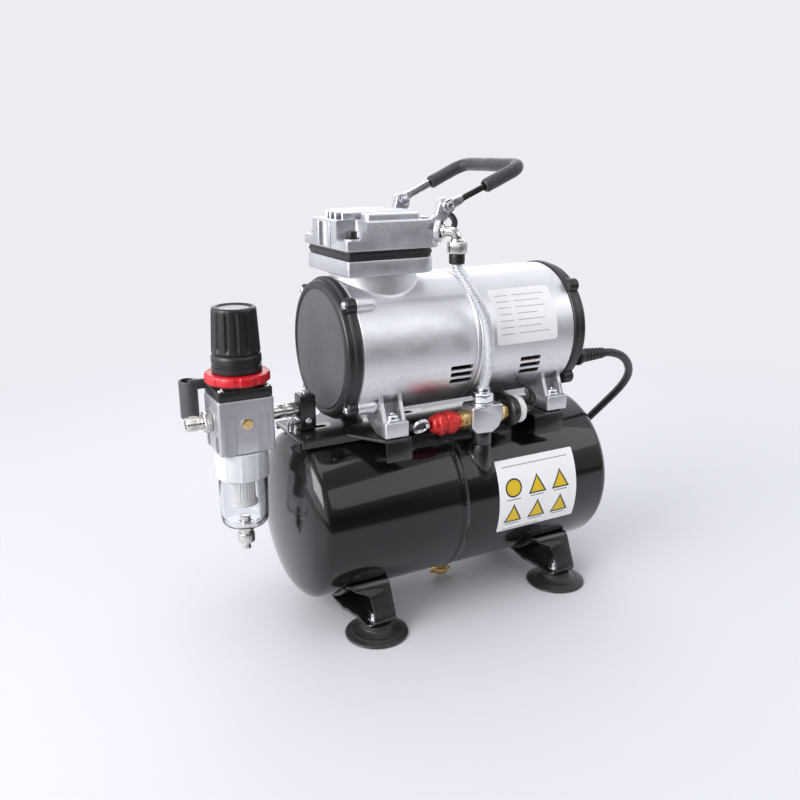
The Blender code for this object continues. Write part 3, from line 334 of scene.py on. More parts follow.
def offset_ring(pts, d):
    """Move a closed outline inwards by d (counter-clockwise outlines)."""
    n = len(pts)
    out = []
    for i in range(n):
        p, a, c = Vector(pts[i]), Vector(pts[i - 1]), Vector(pts[(i + 1) % n])
        e1, e2 = (p - a), (c - p)
        if e1.length < 1e-7:
            e1 = e2
        if e2.length < 1e-7:
            e2 = e1
        e1, e2 = e1.normalized(), e2.normalized()
        n1, n2 = Vector((-e1.y, e1.x)), Vector((-e2.y, e2.x))
        m = n1 + n2
        if m.length < 1e-6:
            m = n1
        m.normalize()
        out.append(p + m * (d / max(0.35, m.dot(n1))))
    return out


def prism(points, h0, h1, axis="Z", r=0.0, n=3, bm=None, r0=None):
    """Extrude a closed outline with its two rims rounded by r."""
    bm = bm or bmesh.new()
    area2 = sum(points[i - 1][0] * p[1] - p[0] * points[i - 1][1] for i, p in enumerate(points))
    if area2 < 0:
        points = list(reversed(points))
    points = [Vector(p[:2]) for p in points]
    r0 = r if r0 is None else r0

    def at(p, h):
        if axis == "Z":
            return (p[0], p[1], h)
        if axis == "X":
            return (h, p[0], p[1])
        return (p[0], h, p[1])

    levels = []
    if r0:
        levels += [(h0 + r0 * (1 - math.sin(math.pi / 2 * k / n)), r0 * (1 - math.cos(math.pi / 2 * k / n)))
                   for k in range(n)]
    levels.append((h0 + r0, 0.0))
    levels.append((h1 - r, 0.0))
    if r:
        levels += [(h1 - r * (1 - math.sin(math.pi / 2 * k / n)), r * (1 - math.cos(math.pi / 2 * k / n)))
                   for k in range(1, n + 1)]
    # the lower rim runs from its inset edge outwards
    if r0:
        low = [(h0 + r0 * (1 - math.cos(math.pi / 2 * k / n)), r0 * (1 - math.sin(math.pi / 2 * k / n)))
               for k in range(n)]
        levels = low + levels[n:]
    rings = []
    for h, d in levels:
        ring = offset_ring(points, d) if d else points
        rings.append([bm.verts.new(at(p, h)) for p in ring])
    m = len(points)
    for a, b in zip(rings, rings[1:]):
        bridge(bm, a, b, m)
    bm.faces.new(rings[0])
    bm.faces.new(rings[-1])
    return bm


def rect(x0, x1, y0, y1, r=0.0, n=4):
    pts = [(x0, y0), (x1, y0), (x1, y1), (x0, y1)]
    return fillet(pts, r, n, True) if r else pts


def block(x0, x1, y0, y1, z0, z1, r=0.6, n=3, bm=None):
    """Box with all its edges rounded."""
    return prism(rect(x0, x1, y0, y1, r, n + 1), z0, z1, "Z", r, n, bm)


def hexagon(r, cx=0.0, cy=0.0, turn=0.0, rr=0.35):
    pts = [(cx + r * math.cos(turn + math.pi / 3 * i), cy + r * math.sin(turn + math.pi / 3 * i)) for i in range(6)]
    return fillet(pts, rr, 3, True)


def smooth_path(points, per=6, loop=False):
    p = [Vector(q) for q in points]
    if loop:
        p = [p[-1]] + p + [p[0], p[1]]
    else:
        p = [2 * p[0] - p[1]] + p + [2 * p[-1] - p[-2]]
    out = []
    for i in range(1, len(p) - 2):
        for s in range(per):
            t = s / per
            a, b, c, d = p[i - 1], p[i], p[i + 1], p[i + 2]
            out.append(0.5 * ((2 * b) + (c - a) * t + (2 * a - 5 * b + 4 * c - d) * t * t
                              + (3 * b - a - 3 * c + d) * t ** 3))
    if not loop:
        out.append(p[-2])
    return out


def frames_of(path, loop=False, up=None):
    n = len(path)
    tangents = []
    for i in range(n):
        if loop:
            t = path[(i + 1) % n] - path[i - 1]
        else:
            t = path[min(i + 1, n - 1)] - path[max(i - 1, 0)]
        tangents.append(t.normalized())
    u = Vector(up) if up else tangents[0].orthogonal()
    out = []
    for t in tangents:
        if up:
            u = Vector(up)
        u = (u - t * u.dot(t)).normalized()
        out.append((u, t.cross(u)))
    return out


def sweep(path, section, loop=False, up=None, scale=None, bm=None):
    """Sweep a closed 2-D section (list of (a, b)) along a path; scale(i) may taper it."""
    bm = bm or bmesh.new()
    path = [Vector(p) for p in path]
    fr = frames_of(path, loop, up)
    rings = []
    for i, p in enumerate(path):
        u, w = fr[i]
        s = scale(i) if scale else 1.0
        rings.append([bm.verts.new(p + u * a * s + w * b * s) for a, b in section])
    m = len(section)
    for a, b in zip(rings, rings[1:]):
        bridge(bm, a, b, m)
    if loop:
        bridge(bm, rings[-1], rings[0], m)
    else:
        bm.faces.new(rings[0])
        bm.faces.new(rings[-1])
    return bm


def circle(r, n=24, squash=1.0):
    return [(r * math.cos(2 * math.pi * k / n), r * squash * math.sin(2 * math.pi * k / n)) for k in range(n)]


def thread(r_in, r_out, pitch, h0, h1, axis="Z", at=(0, 0, 0), seg=40, bm=None):
    """A real helical thread surface with closed ends."""
    bm = bm or bmesh.new()
    rot = AXES[axis]
    at = Vector(at)
    rows = max(6, int((h1 - h0) / pitch * 8))
    rings = []
    for k in range(rows + 1):
        h = h0 + (h1 - h0) * k / rows
        fade = min(1.0, 3.0 * min(k, rows - k) / rows + 0.15)
        ring = []
        for i in range(seg):
            a = 2 * math.pi * i / seg
            f = (h / pitch - i / seg) % 1.0
            tri = 1 - abs(2 * f - 1)
            q = r_in + (r_out - r_in) * min(1.0, 1.25 * tri) * fade
            ring.append(bm.verts.new(rot @ Vector((q * math.cos(a), q * math.sin(a), h)) + at))
        rings.append(ring)
    for a, b in zip(rings, rings[1:]):
        bridge(bm, a, b, seg)
    bm.faces.new(rings[0])
    bm.faces.new(rings[-1])
    return bm


def hex_polar(af):
    """Radius of a hexagon with the given half width across flats."""
    def f(a):
        q = (a + math.pi / 6) % (math.pi / 3) - math.pi / 6
        return af / math.cos(q)
    return f


def cross_polar(w, length):
    def f(a):
        q = abs((a + math.pi / 4) % (math.pi / 2) - math.pi / 4)
        return min(w / max(math.sin(q), 1e-4), length / math.cos(q))
    return f


def screw(at, direction, r, h, drive="cross", seg=32, bm=None, washer=0.0):
    """Screw head standing on a surface; direction points out of it."""
    bm = bm or bmesh.new()
    d = Vector(direction).normalized()
    u = d.orthogonal().normalized()
    w = d.cross(u)
    at = Vector(at)

    def ring(rad, z, fn=None):
        out = []
        for i in range(seg):
            a = 2 * math.pi * i / seg
            q = fn(a) if fn else rad
            out.append(bm.verts.new(at + d * z + u * q * math.cos(a) + w * q * math.sin(a)))
        return out

    rings = [ring(r * 0.6, -0.6)]
    if washer:
        rings += [ring(washer, -0.05), ring(washer, 0.75), ring(washer - 0.2, 0.9), ring(r, 0.92)]
    else:
        rings.append(ring(r, -0.6))
    base = 0.9 if washer else 0.0
    if drive == "hex":
        rings += [ring(r, base + h - 0.5), ring(r - 0.15, base + h - 0.14), ring(r - 0.5, base + h)]
        fn = hex_polar(r * 0.5)
        rings += [ring(0, base + h, lambda a: fn(a) + 0.15), ring(0, base + h - 0.25, fn), ring(0, base + h * 0.3, fn)]
    else:
        rings += [ring(r, base + h * 0.25)]
        for k in range(1, 6):
            t = math.pi / 2 * k / 6
            rings.append(ring(r * math.cos(t * 0.82), base + h * (0.25 + 0.75 * math.sin(t))))
        fn = cross_polar(r * 0.13, r * 0.52)
        rings += [ring(0, base + h * 0.99, lambda a: fn(a) + 0.04), ring(0, base + h * 0.86, fn), ring(0, base + h * 0.35, lambda a: fn(a) * 0.7)]
    for a, b in zip(rings, rings[1:]):
        bridge(bm, a, b, seg)
    bm.faces.new(rings[0])
    bm.faces.new(rings[-1])
    return bm


def to_object(name, bm):
    bmesh.ops.recalc_face_normals(bm, faces=bm.faces)
    me = bpy.data.meshes.new(name)
    bm.to_mesh(me)
    bm.free()
    ob = bpy.data.objects.new(name, me)
    bpy.context.scene.collection.objects.link(ob)
    return ob


def volume_of(me):
    b = bmesh.new()
    b.from_mesh(me)
    bmesh.ops.triangulate(b, faces=b.faces)
    v = b.calc_volume(signed=True)
    b.free()
    return v


def tidy(me, weld=0.0):
    b = bmesh.new()
    b.from_mesh(me)
    if weld:
        bmesh.ops.remove_doubles(b, verts=b.verts, dist=weld)
        bmesh.ops.dissolve_degenerate(b, edges=b.edges, dist=weld)
    bmesh.ops.triangulate(b, faces=[f for f in b.faces if len(f.verts) > (3 if weld else 4)])
    b.to_mesh(me)
    b.free()


def solve(bm, adds=(), cuts=()):
    """Union and difference, in millimetres; returns a bmesh again.

    Each result's volume is checked. A step that went wrong is tried again on
    welded meshes with the tool moved by a few microns.
    """
    ob = to_object("tmp_base", bm)
    for op, tools in (("UNION", adds), ("DIFFERENCE", cuts)):
        for tool_bm in tools:
            tool = to_object("tmp_tool", tool_bm)
            va, vb = volume_of(ob.data), volume_of(tool.data)
            if op == "UNION":
                low, high = max(va, vb) * 0.999, (va + vb) * 1.001
            else:
                low, high = max(va * 0.02, (va - vb) * 0.999), va * 1.001
            done = None
            for attempt in range(5):
                tidy(ob.data, 0.0004 * attempt)
                tidy(tool.data, 0.0004 * attempt)
                tool.location = Vector((0.0061, 0.0047, 0.0053)) * attempt * (1 if attempt % 2 else -1)
                mod = ob.modifiers.new("b", "BOOLEAN")
                mod.operation = op
                mod.solver = "MANIFOLD" if attempt in (2, 4) else "EXACT"
                mod.object = tool
                dg = bpy.context.evaluated_depsgraph_get()
                dg.update()
                me = bpy.data.meshes.new_from_object(ob.evaluated_get(dg))
                ob.modifiers.remove(mod)
                if len(me.vertices) and low <= volume_of(me) <= high:
                    done = me
                    break
                bpy.data.meshes.remove(me)
            if done is None and op == "UNION":
                b = bmesh.new()
                b.from_mesh(ob.data)
                b.from_mesh(tool.data)
                done = bpy.data.meshes.new("joined")
                b.to_mesh(done)
                b.free()
            if done is None:
                print("SOLVE skipped a", op)
            else:
                if attempt:
                    print("SOLVE", op, "took attempt", attempt)
                old = ob.data
                ob.data = done
                bpy.data.meshes.remove(old)
            gone = tool.data
            bpy.data.objects.remove(tool, do_unlink=True)
            bpy.data.meshes.remove(gone)
    out = bmesh.new()
    out.from_mesh(ob.data)
    gone = ob.data
    bpy.data.objects.remove(ob, do_unlink=True)
    bpy.data.meshes.remove(gone)
    bmesh.ops.remove_doubles(out, verts=out.verts, dist=0.001)
    bmesh.ops.dissolve_degenerate(out, edges=out.edges, dist=0.0005)
    return out


def place(name, bm, mat, body="base", replaces=(), smooth=34.0, bevel=0.0, flip=True):
    """Finish a piece: millimetres to frame metres, shading, material, body."""
    if flip:
        bmesh.ops.recalc_face_normals(bm, faces=bm.faces)
    for v in bm.verts:
        v.co = V(*v.co)
    limit = math.radians(smooth)
    me = bpy.data.meshes.new(name)
    for e in bm.edges:
        e.smooth = not (len(e.link_faces) == 2 and e.calc_face_angle(0.0) > limit)
    for f in bm.faces:
        f.smooth = True
    bm.to_mesh(me)
    bm.free()
    ob = bpy.data.objects.new(name, me)
    bpy.context.scene.collection.objects.link(ob)
    me.materials.append(mat)
    if bevel:
        mod = ob.modifiers.new("edge", "BEVEL")
        mod.width = bevel * MM
        mod.segments = 2
        mod.limit_method = "ANGLE"
        mod.angle_limit = math.radians(42)
        mod.use_clamp_overlap = True
        mod.harden_normals = False
    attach(ob, body)
    if replaces:
        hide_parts(*replaces)
    return ob


# ======================================================================
# materials
# ======================================================================
class Mat:
    """A Principled material with procedural colour, roughness and relief."""

    def __init__(self, name):
        self.m = bpy.data.materials.new(name)
        self.m.use_nodes = True
        self.t = self.m.node_tree
        self.b = self.t.nodes["Principled BSDF"]
        self.co = self.t.nodes.new("ShaderNodeTexCoord").outputs["Object"]

    def node(self, kind, **props):
        n = self.t.nodes.new(kind)
        for k, v in props.items():
            setattr(n, k, v)
        return n

    def link(self, a, b):
        self.t.links.new(a, b)

    def coords(self, scale=(1, 1, 1), rot=(0, 0, 0)):
        n = self.node("ShaderNodeMapping")
        n.inputs["Scale"].default_value = scale
        n.inputs["Rotation"].default_value = rot
        self.link(self.co, n.inputs["Vector"])
        return n.outputs[0]

    def noise(self, scale, detail=3.0, rough=0.55, stretch=None, rot=(0, 0, 0)):
        n = self.node("ShaderNodeTexNoise")
        n.inputs["Scale"].default_value = scale
        n.inputs["Detail"].default_value = detail
        n.inputs["Roughness"].default_value = rough
        self.link(self.coords(stretch or (1, 1, 1), rot), n.inputs["Vector"])
        return n.outputs["Fac"]

    def voronoi(self, scale, feature="F1", stretch=None):
        n = self.node("ShaderNodeTexVoronoi", feature=feature)
        n.inputs["Scale"].default_value = scale
        self.link(self.coords(stretch or (1, 1, 1)), n.inputs["Vector"])
        return n.outputs["Distance"]

    def wave(self, scale, axis="X", distortion=0.0, rot=(0, 0, 0), profile="SIN"):
        n = self.node("ShaderNodeTexWave", bands_direction=axis, wave_profile=profile)
        n.inputs["Scale"].default_value = scale
        n.inputs["Distortion"].default_value = distortion
        n.inputs["Detail Scale"].default_value = 2.0
        self.link(self.coords((1, 1, 1), rot), n.inputs["Vector"])
        return n.outputs["Fac"]

    def span(self, fac, lo, hi, to_lo, to_hi, smooth=False):
        n = self.node("ShaderNodeMapRange")
        if smooth:
            n.interpolation_type = "SMOOTHSTEP"
        for key, v in (("From Min", lo), ("From Max", hi), ("To Min", to_lo), ("To Max", to_hi)):
            n.inputs[key].default_value = v
        self.link(fac, n.inputs["Value"])
        return n.outputs["Result"]

    def blend(self, fac, a, b, mode="MIX"):
        n = self.node("ShaderNodeMix", data_type="RGBA", blend_type=mode)
        self.link(fac, n.inputs["Factor"])
        for key, v in (("A", a), ("B", b)):
            socket = [s for s in n.inputs if s.name == key and s.type == "RGBA"][0]
            if isinstance(v, tuple):
                socket.default_value = (*v[:3], 1.0)
            else:
                self.link(v, socket)
        return [s for s in n.outputs if s.type == "RGBA"][0]

    def math(self, op, a, b=None):
        n = self.node("ShaderNodeMath", operation=op)
        for k, v in enumerate((a, b)):
            if v is None:
                continue
            if isinstance(v, (int, float)):
                n.inputs[k].default_value = v
            else:
                self.link(v, n.inputs[k])
        return n.outputs[0]

    def bump(self, height, distance, strength=1.0, under=None):
        n = self.node("ShaderNodeBump")
        n.inputs["Strength"].default_value = strength
        n.inputs["Distance"].default_value = distance
        self.link(height, n.inputs["Height"])
        if under is not None:
            self.link(under, n.inputs["Normal"])
        return n.outputs["Normal"]

    def set(self, **kw):
        names = {"metal": "Metallic", "ior": "IOR", "coat": "Coat Weight", "coat_rough": "Coat Roughness",
                 "trans": "Transmission Weight", "sheen": "Sheen Weight", "sheen_rough": "Sheen Roughness",
                 "spec": "Specular IOR Level", "aniso": "Anisotropic", "sss": "Subsurface Weight",
                 "rough": "Roughness"}
        for k, v in kw.items():
            self.b.inputs[names[k]].default_value = v
        return self

    def edges(self, base, worn, lo=0.53, hi=0.62, amount=0.6):
        """Lighter where corners are rubbed, broken up with noise."""
        g = self.node("ShaderNodeNewGeometry")
        e = self.span(g.outputs["Pointiness"], lo, hi, 0.0, amount, True)
        e = self.math("MULTIPLY", e, self.span(self.noise(420, 4), 0.4, 0.62, 0.2, 1.0))
        return self.blend(e, base, worn)

    def colour(self, c):
        self.link(c, self.b.inputs["Base Color"])

    def roughness(self, r):
        self.link(r, self.b.inputs["Roughness"])

    def normal(self, n, coat=False):
        self.link(n, self.b.inputs["Normal"])
        if coat:
            self.link(n, self.b.inputs["Coat Normal"])


def enamel(name, a, b, rough, peel=0.0000035, coat=1.0, worn=(0.05, 0.05, 0.055), dust=0.3, spec=0.5):
    """Sprayed enamel: orange peel, a few dust motes and rubbed edges."""
    k = Mat(name)
    base = k.blend(k.span(k.noise(14, 4), 0.35, 0.65, 0, 1), a, b)
    base = k.edges(base, worn, 0.535, 0.64, 0.5)
    motes = k.span(k.voronoi(260), 0.0, 0.045, dust, 0.0)
    base = k.blend(motes, base, (0.22, 0.22, 0.23))
    k.colour(base)
    k.roughness(k.span(k.noise(26, 5, 0.65), 0.3, 0.7, rough * 0.75, rough * 1.4))
    n = k.bump(k.noise(240, 2, 0.4), peel)
    k.normal(k.bump(k.noise(1500, 2), peel * 0.12, 1.0, n), True)
    k.set(coat=coat, coat_rough=0.035, spec=spec)
    return k.m


def satin_black(name, a, b, rough, grain=900.0, depth=0.000018, worn=(0.12, 0.12, 0.125)):
    """Powder coat or moulded plastic with a fine grain."""
    k = Mat(name)
    base = k.blend(k.span(k.noise(22, 5), 0.35, 0.68, 0, 1), a, b)
    k.colour(k.edges(base, worn, 0.54, 0.66, 0.45))
    k.roughness(k.span(k.noise(60, 5, 0.7), 0.3, 0.72, rough * 0.82, rough * 1.25))
    k.normal(k.bump(k.noise(grain, 3, 0.6), depth))
    return k.m


def casting(name, a, b, rough, grain=1500.0, depth=0.00003, worn=(0.9, 0.9, 0.92), metal=1.0):
    """Die casting under a thin silver finish: bead texture, with painted shade darkening the corners."""
    k = Mat(name)
    base = k.blend(k.span(k.noise(18, 5), 0.34, 0.66, 0, 1), a, b)
    g = k.node("ShaderNodeNewGeometry")
    # painted shade: hollows and inner corners darkened towards 0.42 of the base colour
    dark = k.span(g.outputs["Pointiness"], 0.40, 0.485, 0.65, 0.0, True)
    base = k.blend(dark, base, tuple(c * 0.42 for c in a))
    base = k.edges(base, worn, 0.53, 0.62, 0.5)
    speck = k.span(k.noise(2600, 2, 0.5), 0.62, 0.72, 0.0, 0.22)
    k.colour(k.blend(speck, base, tuple(c * 0.55 for c in a)))
    k.roughness(k.span(k.noise(70, 6, 0.7), 0.28, 0.72, rough * 0.85, rough * 1.25))
    n = k.bump(k.noise(grain, 4, 0.62), depth)
    k.normal(k.bump(k.voronoi(950), depth * 0.35, 0.6, n))
    k.set(metal=metal)
    return k.m


def turned(name, a, b, rough, pitch=2600.0, axis=(1, 0.03, 0.03), depth=0.000004, metal=1.0, stain=0.25):
    """Machined or plated metal: fine tool lines, stains and small scratches."""
    k = Mat(name)
    base = k.blend(k.span(k.noise(90, 5), 0.35, 0.7, 0, 1), a, b)
    base = k.edges(base, tuple(min(1, c * 1.3) for c in a), 0.53, 0.62, 0.5)
    spots = k.span(k.noise(340, 4, 0.7), 0.58, 0.72, 0.0, stain)
    k.colour(k.blend(spots, base, tuple(c * 0.45 for c in b)))
    k.roughness(k.span(k.noise(220, 5, 0.7), 0.3, 0.72, rough * 0.7, rough * 1.5))
    n = k.bump(k.noise(pitch, 2, 0.5, axis), depth)
    k.normal(k.bump(k.noise(900, 4, 0.7, (0.2, 1, 1), (0.5, 0.7, 0.2)), depth * 0.6, 0.8, n))
    k.set(metal=metal)
    return k.m


def rubber(name, a, b, rough, grain=1100.0, depth=0.00002, dust=(0.09, 0.09, 0.092), amount=0.4):
    k = Mat(name)
    base = k.blend(k.span(k.noise(30, 5), 0.35, 0.68, 0, 1), a, b)
    k.colour(k.blend(k.span(k.noise(150, 6, 0.72), 0.52, 0.78, 0.0, amount), base, dust))
    k.roughness(k.span(k.noise(48, 5, 0.7), 0.3, 0.7, rough * 0.85, min(1.0, rough * 1.2)))
    n = k.bump(k.noise(grain, 3), depth)
    k.normal(k.bump(k.noise(160, 3), depth * 1.6, 0.6, n))
    return k.m


def plastic(name, a, b, rough, grain=500.0, depth=0.000008, coat=0.0, sss=0.0):
    k = Mat(name)
    base = k.blend(k.span(k.noise(35, 4), 0.35, 0.68, 0, 1), a, b)
    k.colour(k.edges(base, tuple(min(1, c * 1.35 + 0.02) for c in a), 0.54, 0.64, 0.4))
    k.roughness(k.span(k.noise(90, 5, 0.7), 0.3, 0.72, rough * 0.78, rough * 1.3))
    n = k.bump(k.noise(grain, 3), depth)
    k.normal(k.bump(k.noise(70, 2), depth * 2.0, 0.6, n))
    k.set(coat=coat, sss=sss)
    return k.m


def materials():
    M = {}
    M["tank"] = enamel("tank_black_enamel", (0.0042, 0.0042, 0.005), (0.0062, 0.0062, 0.0072), 0.15, 0.0000035, 0.66, dust=0.25, spec=0.2)
    M["leg"] = enamel("leg_black_enamel", (0.006, 0.006, 0.007), (0.010, 0.010, 0.011), 0.24, 0.000005, 0.6, (0.022, 0.022, 0.024), 0.12)
    M["sheet"] = enamel("sheet_black_enamel", (0.006, 0.006, 0.007), (0.010, 0.010, 0.011), 0.26, 0.000005, 0.5, (0.020, 0.020, 0.022), 0.12)
    M["cover"] = satin_black("cover_powder_coat", (0.010, 0.010, 0.0115), (0.016, 0.016, 0.018), 0.34, 1300.0, 0.000010, (0.03, 0.03, 0.032))
    # painted light: a lighter copy of the cover colour for the flat discs of the end covers
    M["cover_face"] = satin_black("cover_face_painted_light", (0.074, 0.074, 0.084), (0.088, 0.088, 0.100), 0.46, 1500.0, 0.000006, (0.12, 0.12, 0.13))
    M["cast"] = casting("cast_aluminium", (0.55, 0.555, 0.585), (0.66, 0.665, 0.695), 0.42)
    M["motor"] = casting("motor_silver_paint", (0.72, 0.72, 0.745), (0.80, 0.80, 0.82), 0.42, 2600.0, 0.000010, (0.95, 0.95, 0.96))
    M["gasket"] = rubber("gasket_rubber", (0.010, 0.010, 0.011), (0.016, 0.016, 0.017), 0.45)
    M["rubber"] = rubber("foot_rubber", (0.011, 0.011, 0.0115), (0.019, 0.019, 0.02), 0.42, 700.0, 0.00003)
    M["nickel"] = turned("nickel_plate", (0.74, 0.72, 0.69), (0.60, 0.58, 0.55), 0.20)
    M["chrome"] = turned("bright_plate", (0.86, 0.87, 0.9), (0.74, 0.75, 0.78), 0.12, stain=0.12)
    M["brass"] = turned("brass_machined", (0.82, 0.60, 0.27), (0.68, 0.46, 0.18), 0.24, stain=0.35)
    M["steel"] = turned("zinc_plated_steel", (0.66, 0.66, 0.68), (0.50, 0.51, 0.54), 0.28)
    M["bright_steel"] = turned("handle_steel", (0.80, 0.80, 0.82), (0.68, 0.68, 0.70), 0.22)
    M["iron"] = turned("black_oxide", (0.035, 0.035, 0.037), (0.06, 0.06, 0.063), 0.35, metal=0.8)
    M["tee"] = casting("tee_zinc", (0.58, 0.58, 0.60), (0.70, 0.70, 0.72), 0.32, 1800.0, 0.000015)
    M["red_metal"] = turned("red_anodised", (0.60, 0.030, 0.026), (0.46, 0.016, 0.015), 0.30, metal=0.45, stain=0.15)
    M["ring_red"] = plastic("ring_red_plastic", (0.58, 0.006, 0.014), (0.54, 0.005, 0.012), 0.36, 700.0, 0.000003, coat=0.2)
    M["reg_silver"] = casting("regulator_silver_paint", (0.46, 0.465, 0.49), (0.55, 0.555, 0.58), 0.44, 2400.0, 0.000012, (0.9, 0.9, 0.92), 0.85)
    M["reg_black"] = satin_black("regulator_black_plastic", (0.009, 0.009, 0.010), (0.016, 0.016, 0.018), 0.34, 1900.0, 0.000010, (0.06, 0.06, 0.065))
    M["switch"] = satin_black("switch_black_plastic", (0.010, 0.010, 0.010), (0.018, 0.018, 0.019), 0.32, 1600.0, 0.000010)
    M["cap"] = plastic("cap_white_plastic", (0.82, 0.82, 0.80), (0.74, 0.74, 0.72), 0.32, sss=0.05)
    M["holder"] = rubber("holder_rubber", (0.050, 0.052, 0.056), (0.068, 0.070, 0.074), 0.48, 900.0, 0.00002, (0.11, 0.11, 0.115), 0.3)
    M["cord"] = rubber("cord_sheath", (0.010, 0.010, 0.0105), (0.015, 0.015, 0.016), 0.40, 900.0, 0.000012, (0.05, 0.05, 0.052), 0.3)
    M["plug"] = satin_black("plug_plastic", (0.010, 0.010, 0.010), (0.016, 0.016, 0.017), 0.42, 1500.0, 0.00002)
    M["label"] = plastic("label_film", (0.93, 0.93, 0.925), (0.905, 0.905, 0.905), 0.34, 300.0, 0.000002)
    M["mark_yellow"] = plastic("print_yellow", (0.80, 0.56, 0.02), (0.74, 0.50, 0.015), 0.34, 900.0, 0.000002)
    M["mark_grey"] = plastic("print_grey", (0.26, 0.26, 0.27), (0.34, 0.34, 0.35), 0.40, 900.0, 0.000002)
    M["core"] = plastic("hose_pvc", (0.66, 0.68, 0.71), (0.56, 0.58, 0.61), 0.16, 300.0, 0.000004, 1.0, 0.25)
    M["mark_black"] = plastic("print_black", (0.018, 0.018, 0.018), (0.030, 0.030, 0.030), 0.38, 900.0, 0.000002)
    M["piston"] = plastic("ptfe_and_alloy", (0.30, 0.29, 0.27), (0.22, 0.215, 0.20), 0.45, 800.0, 0.00002)
    M["fan"] = plastic("fan_nylon", (0.045, 0.045, 0.047), (0.065, 0.065, 0.068), 0.5, 700.0, 0.00001)

    # braid wire
    k = Mat("braid_wire")
    base = k.blend(k.span(k.noise(120, 4), 0.35, 0.7, 0, 1), (0.86, 0.87, 0.90), (0.70, 0.71, 0.75))
    k.colour(base)
    k.roughness(k.span(k.noise(400, 3), 0.3, 0.7, 0.16, 0.32))
    k.normal(k.bump(k.wave(1700, "Z", 1.0), 0.000015))
    k.set(metal=1.0)
    M["braid"] = k.m

    # foam sleeve: open pores over a soft lumpy skin
    k = Mat("foam_grip")
    base = k.blend(k.span(k.noise(40, 5), 0.34, 0.68, 0, 1), (0.016, 0.016, 0.019), (0.030, 0.030, 0.035))
    # painted shade: the pits of the pores darkened
    pores = k.span(k.voronoi(1150), 0.0, 0.38, 1.0, 0.0)
    k.colour(k.blend(pores, base, (0.008, 0.008, 0.009)))
    k.roughness(k.span(k.noise(90, 4), 0.3, 0.7, 0.42, 0.66))
    n = k.bump(k.voronoi(1150), 0.00012, 0.8)
    k.normal(k.bump(k.noise(130, 4), 0.0003, 0.7, n))
    k.set(sheen=0.25, sheen_rough=0.5)
    M["foam"] = k.m

    # clear polycarbonate
    k = Mat("bowl_polycarbonate")
    k.colour(k.blend(k.span(k.noise(20, 3), 0.4, 0.6, 0, 1), (0.93, 0.945, 0.96), (0.97, 0.975, 0.98)))
    k.roughness(k.span(k.noise(120, 5, 0.7), 0.45, 0.8, 0.02, 0.14))
    k.normal(k.bump(k.noise(90, 3), 0.000012))
    k.set(trans=1.0, ior=1.49)
    M["bowl"] = k.m

    # frosted upper skirt of the bowl
    k = Mat("bowl_frosted")
    k.colour(k.blend(k.span(k.noise(26, 3), 0.4, 0.6, 0, 1), (0.58, 0.59, 0.61), (0.64, 0.645, 0.66)))
    k.roughness(k.span(k.noise(120, 5, 0.7), 0.35, 0.75, 0.22, 0.42))
    k.normal(k.bump(k.noise(300, 3), 0.00001))
    k.set(spec=0.5, sss=0.06, coat=0.25)
    M["frost"] = k.m

    # sintered filter
    k = Mat("sintered_filter")
    k.colour(k.blend(k.span(k.voronoi(1300), 0.0, 0.5, 0, 1), (0.95, 0.95, 0.94), (0.86, 0.86, 0.85)))
    k.roughness(k.span(k.noise(300, 3), 0.3, 0.7, 0.7, 0.95))
    k.normal(k.bump(k.voronoi(1300), 0.0002, 0.9))
    M["filter"] = k.m

    # wound enamelled wire and stacked steel
    k = Mat("enamelled_winding")
    k.colour(k.blend(k.wave(260, "X", 1.5), (0.16, 0.06, 0.025), (0.07, 0.025, 0.012)))
    k.roughness(k.span(k.noise(200, 3), 0.3, 0.7, 0.22, 0.45))
    k.normal(k.bump(k.wave(260, "X", 1.5), 0.0004))
    k.set(metal=0.8)
    M["winding"] = k.m
    k = Mat("laminated_steel")
    k.colour(k.blend(k.wave(300, "X", 0.2), (0.34, 0.35, 0.37), (0.16, 0.165, 0.18)))
    k.roughness(k.span(k.noise(180, 4), 0.3, 0.7, 0.35, 0.6))
    k.normal(k.bump(k.wave(300, "X", 0.2), 0.00015))
    k.set(metal=1.0)
    M["lamination"] = k.m
    return M


M = materials()


def dress(node, mat):
    """Give a carried-over CAD node its finished material."""
    ob = NODES[node]
    if ob.material_slots:
        for s in ob.material_slots:
            s.material = mat
    else:
        ob.data.materials.append(mat)


for n, k in (("crankshaft", "steel"), ("piston_rod", "piston"), ("rotor_core", "lamination"), ("stator", "winding"),
             ("cooling_fan", "fan"), ("bearing_front", "chrome"), ("bearing_rear", "chrome"), ("cylinder_sleeve", "steel"),
             ("adjusting_spindle", "steel"), ("filter_element", "filter"), ("tank_shell", "tank"), ("motor_plate", "sheet"),
             ("crankcase", "motor"), ("motor_housing", "motor"), ("front_cover", "cover"), ("rear_cover", "cover"),
             ("cylinder_base", "cast"), ("cylinder_head", "cast"), ("head_gasket", "gasket"), ("outlet_elbow", "nickel"),
             ("air_hose", "braid"), ("handle_bar", "bright_steel"), ("handle_grip", "foam"), ("tee_block", "tee"),
             ("safety_adapter", "brass"), ("safety_valve", "red_metal"), ("pull_ring", "chrome"), ("switch_nipple", "brass"),
             ("pressure_switch", "switch"), ("switch_cap", "cap"), ("inlet_block", "sheet"), ("inlet_nipple", "nickel"),
             ("regulator_body", "reg_silver"), ("bonnet", "reg_black"), ("panel_ring", "ring_red"), ("lock_collar", "reg_black"),
             ("regulator_knob", "reg_black"), ("outlet_nipple", "nickel"), ("filter_bowl", "bowl"), ("bowl_drain", "nickel"),
             ("airbrush_holder", "holder"), ("strain_relief", "cord"), ("power_cord", "cord"), ("cord_coil", "cord"),
             ("power_plug", "plug"), ("tank_drain_body", "brass"), ("tank_drain_knob", "brass")):
    dress(n, M[k])
for side in ("left", "right"):
    for row in ("front", "rear"):
        dress(f"leg_{row}_{side}", M["leg"])
        dress(f"suction_foot_{row}_{side}", M["rubber"])
        dress(f"mount_bolt_{row}_{side}", M["steel"])


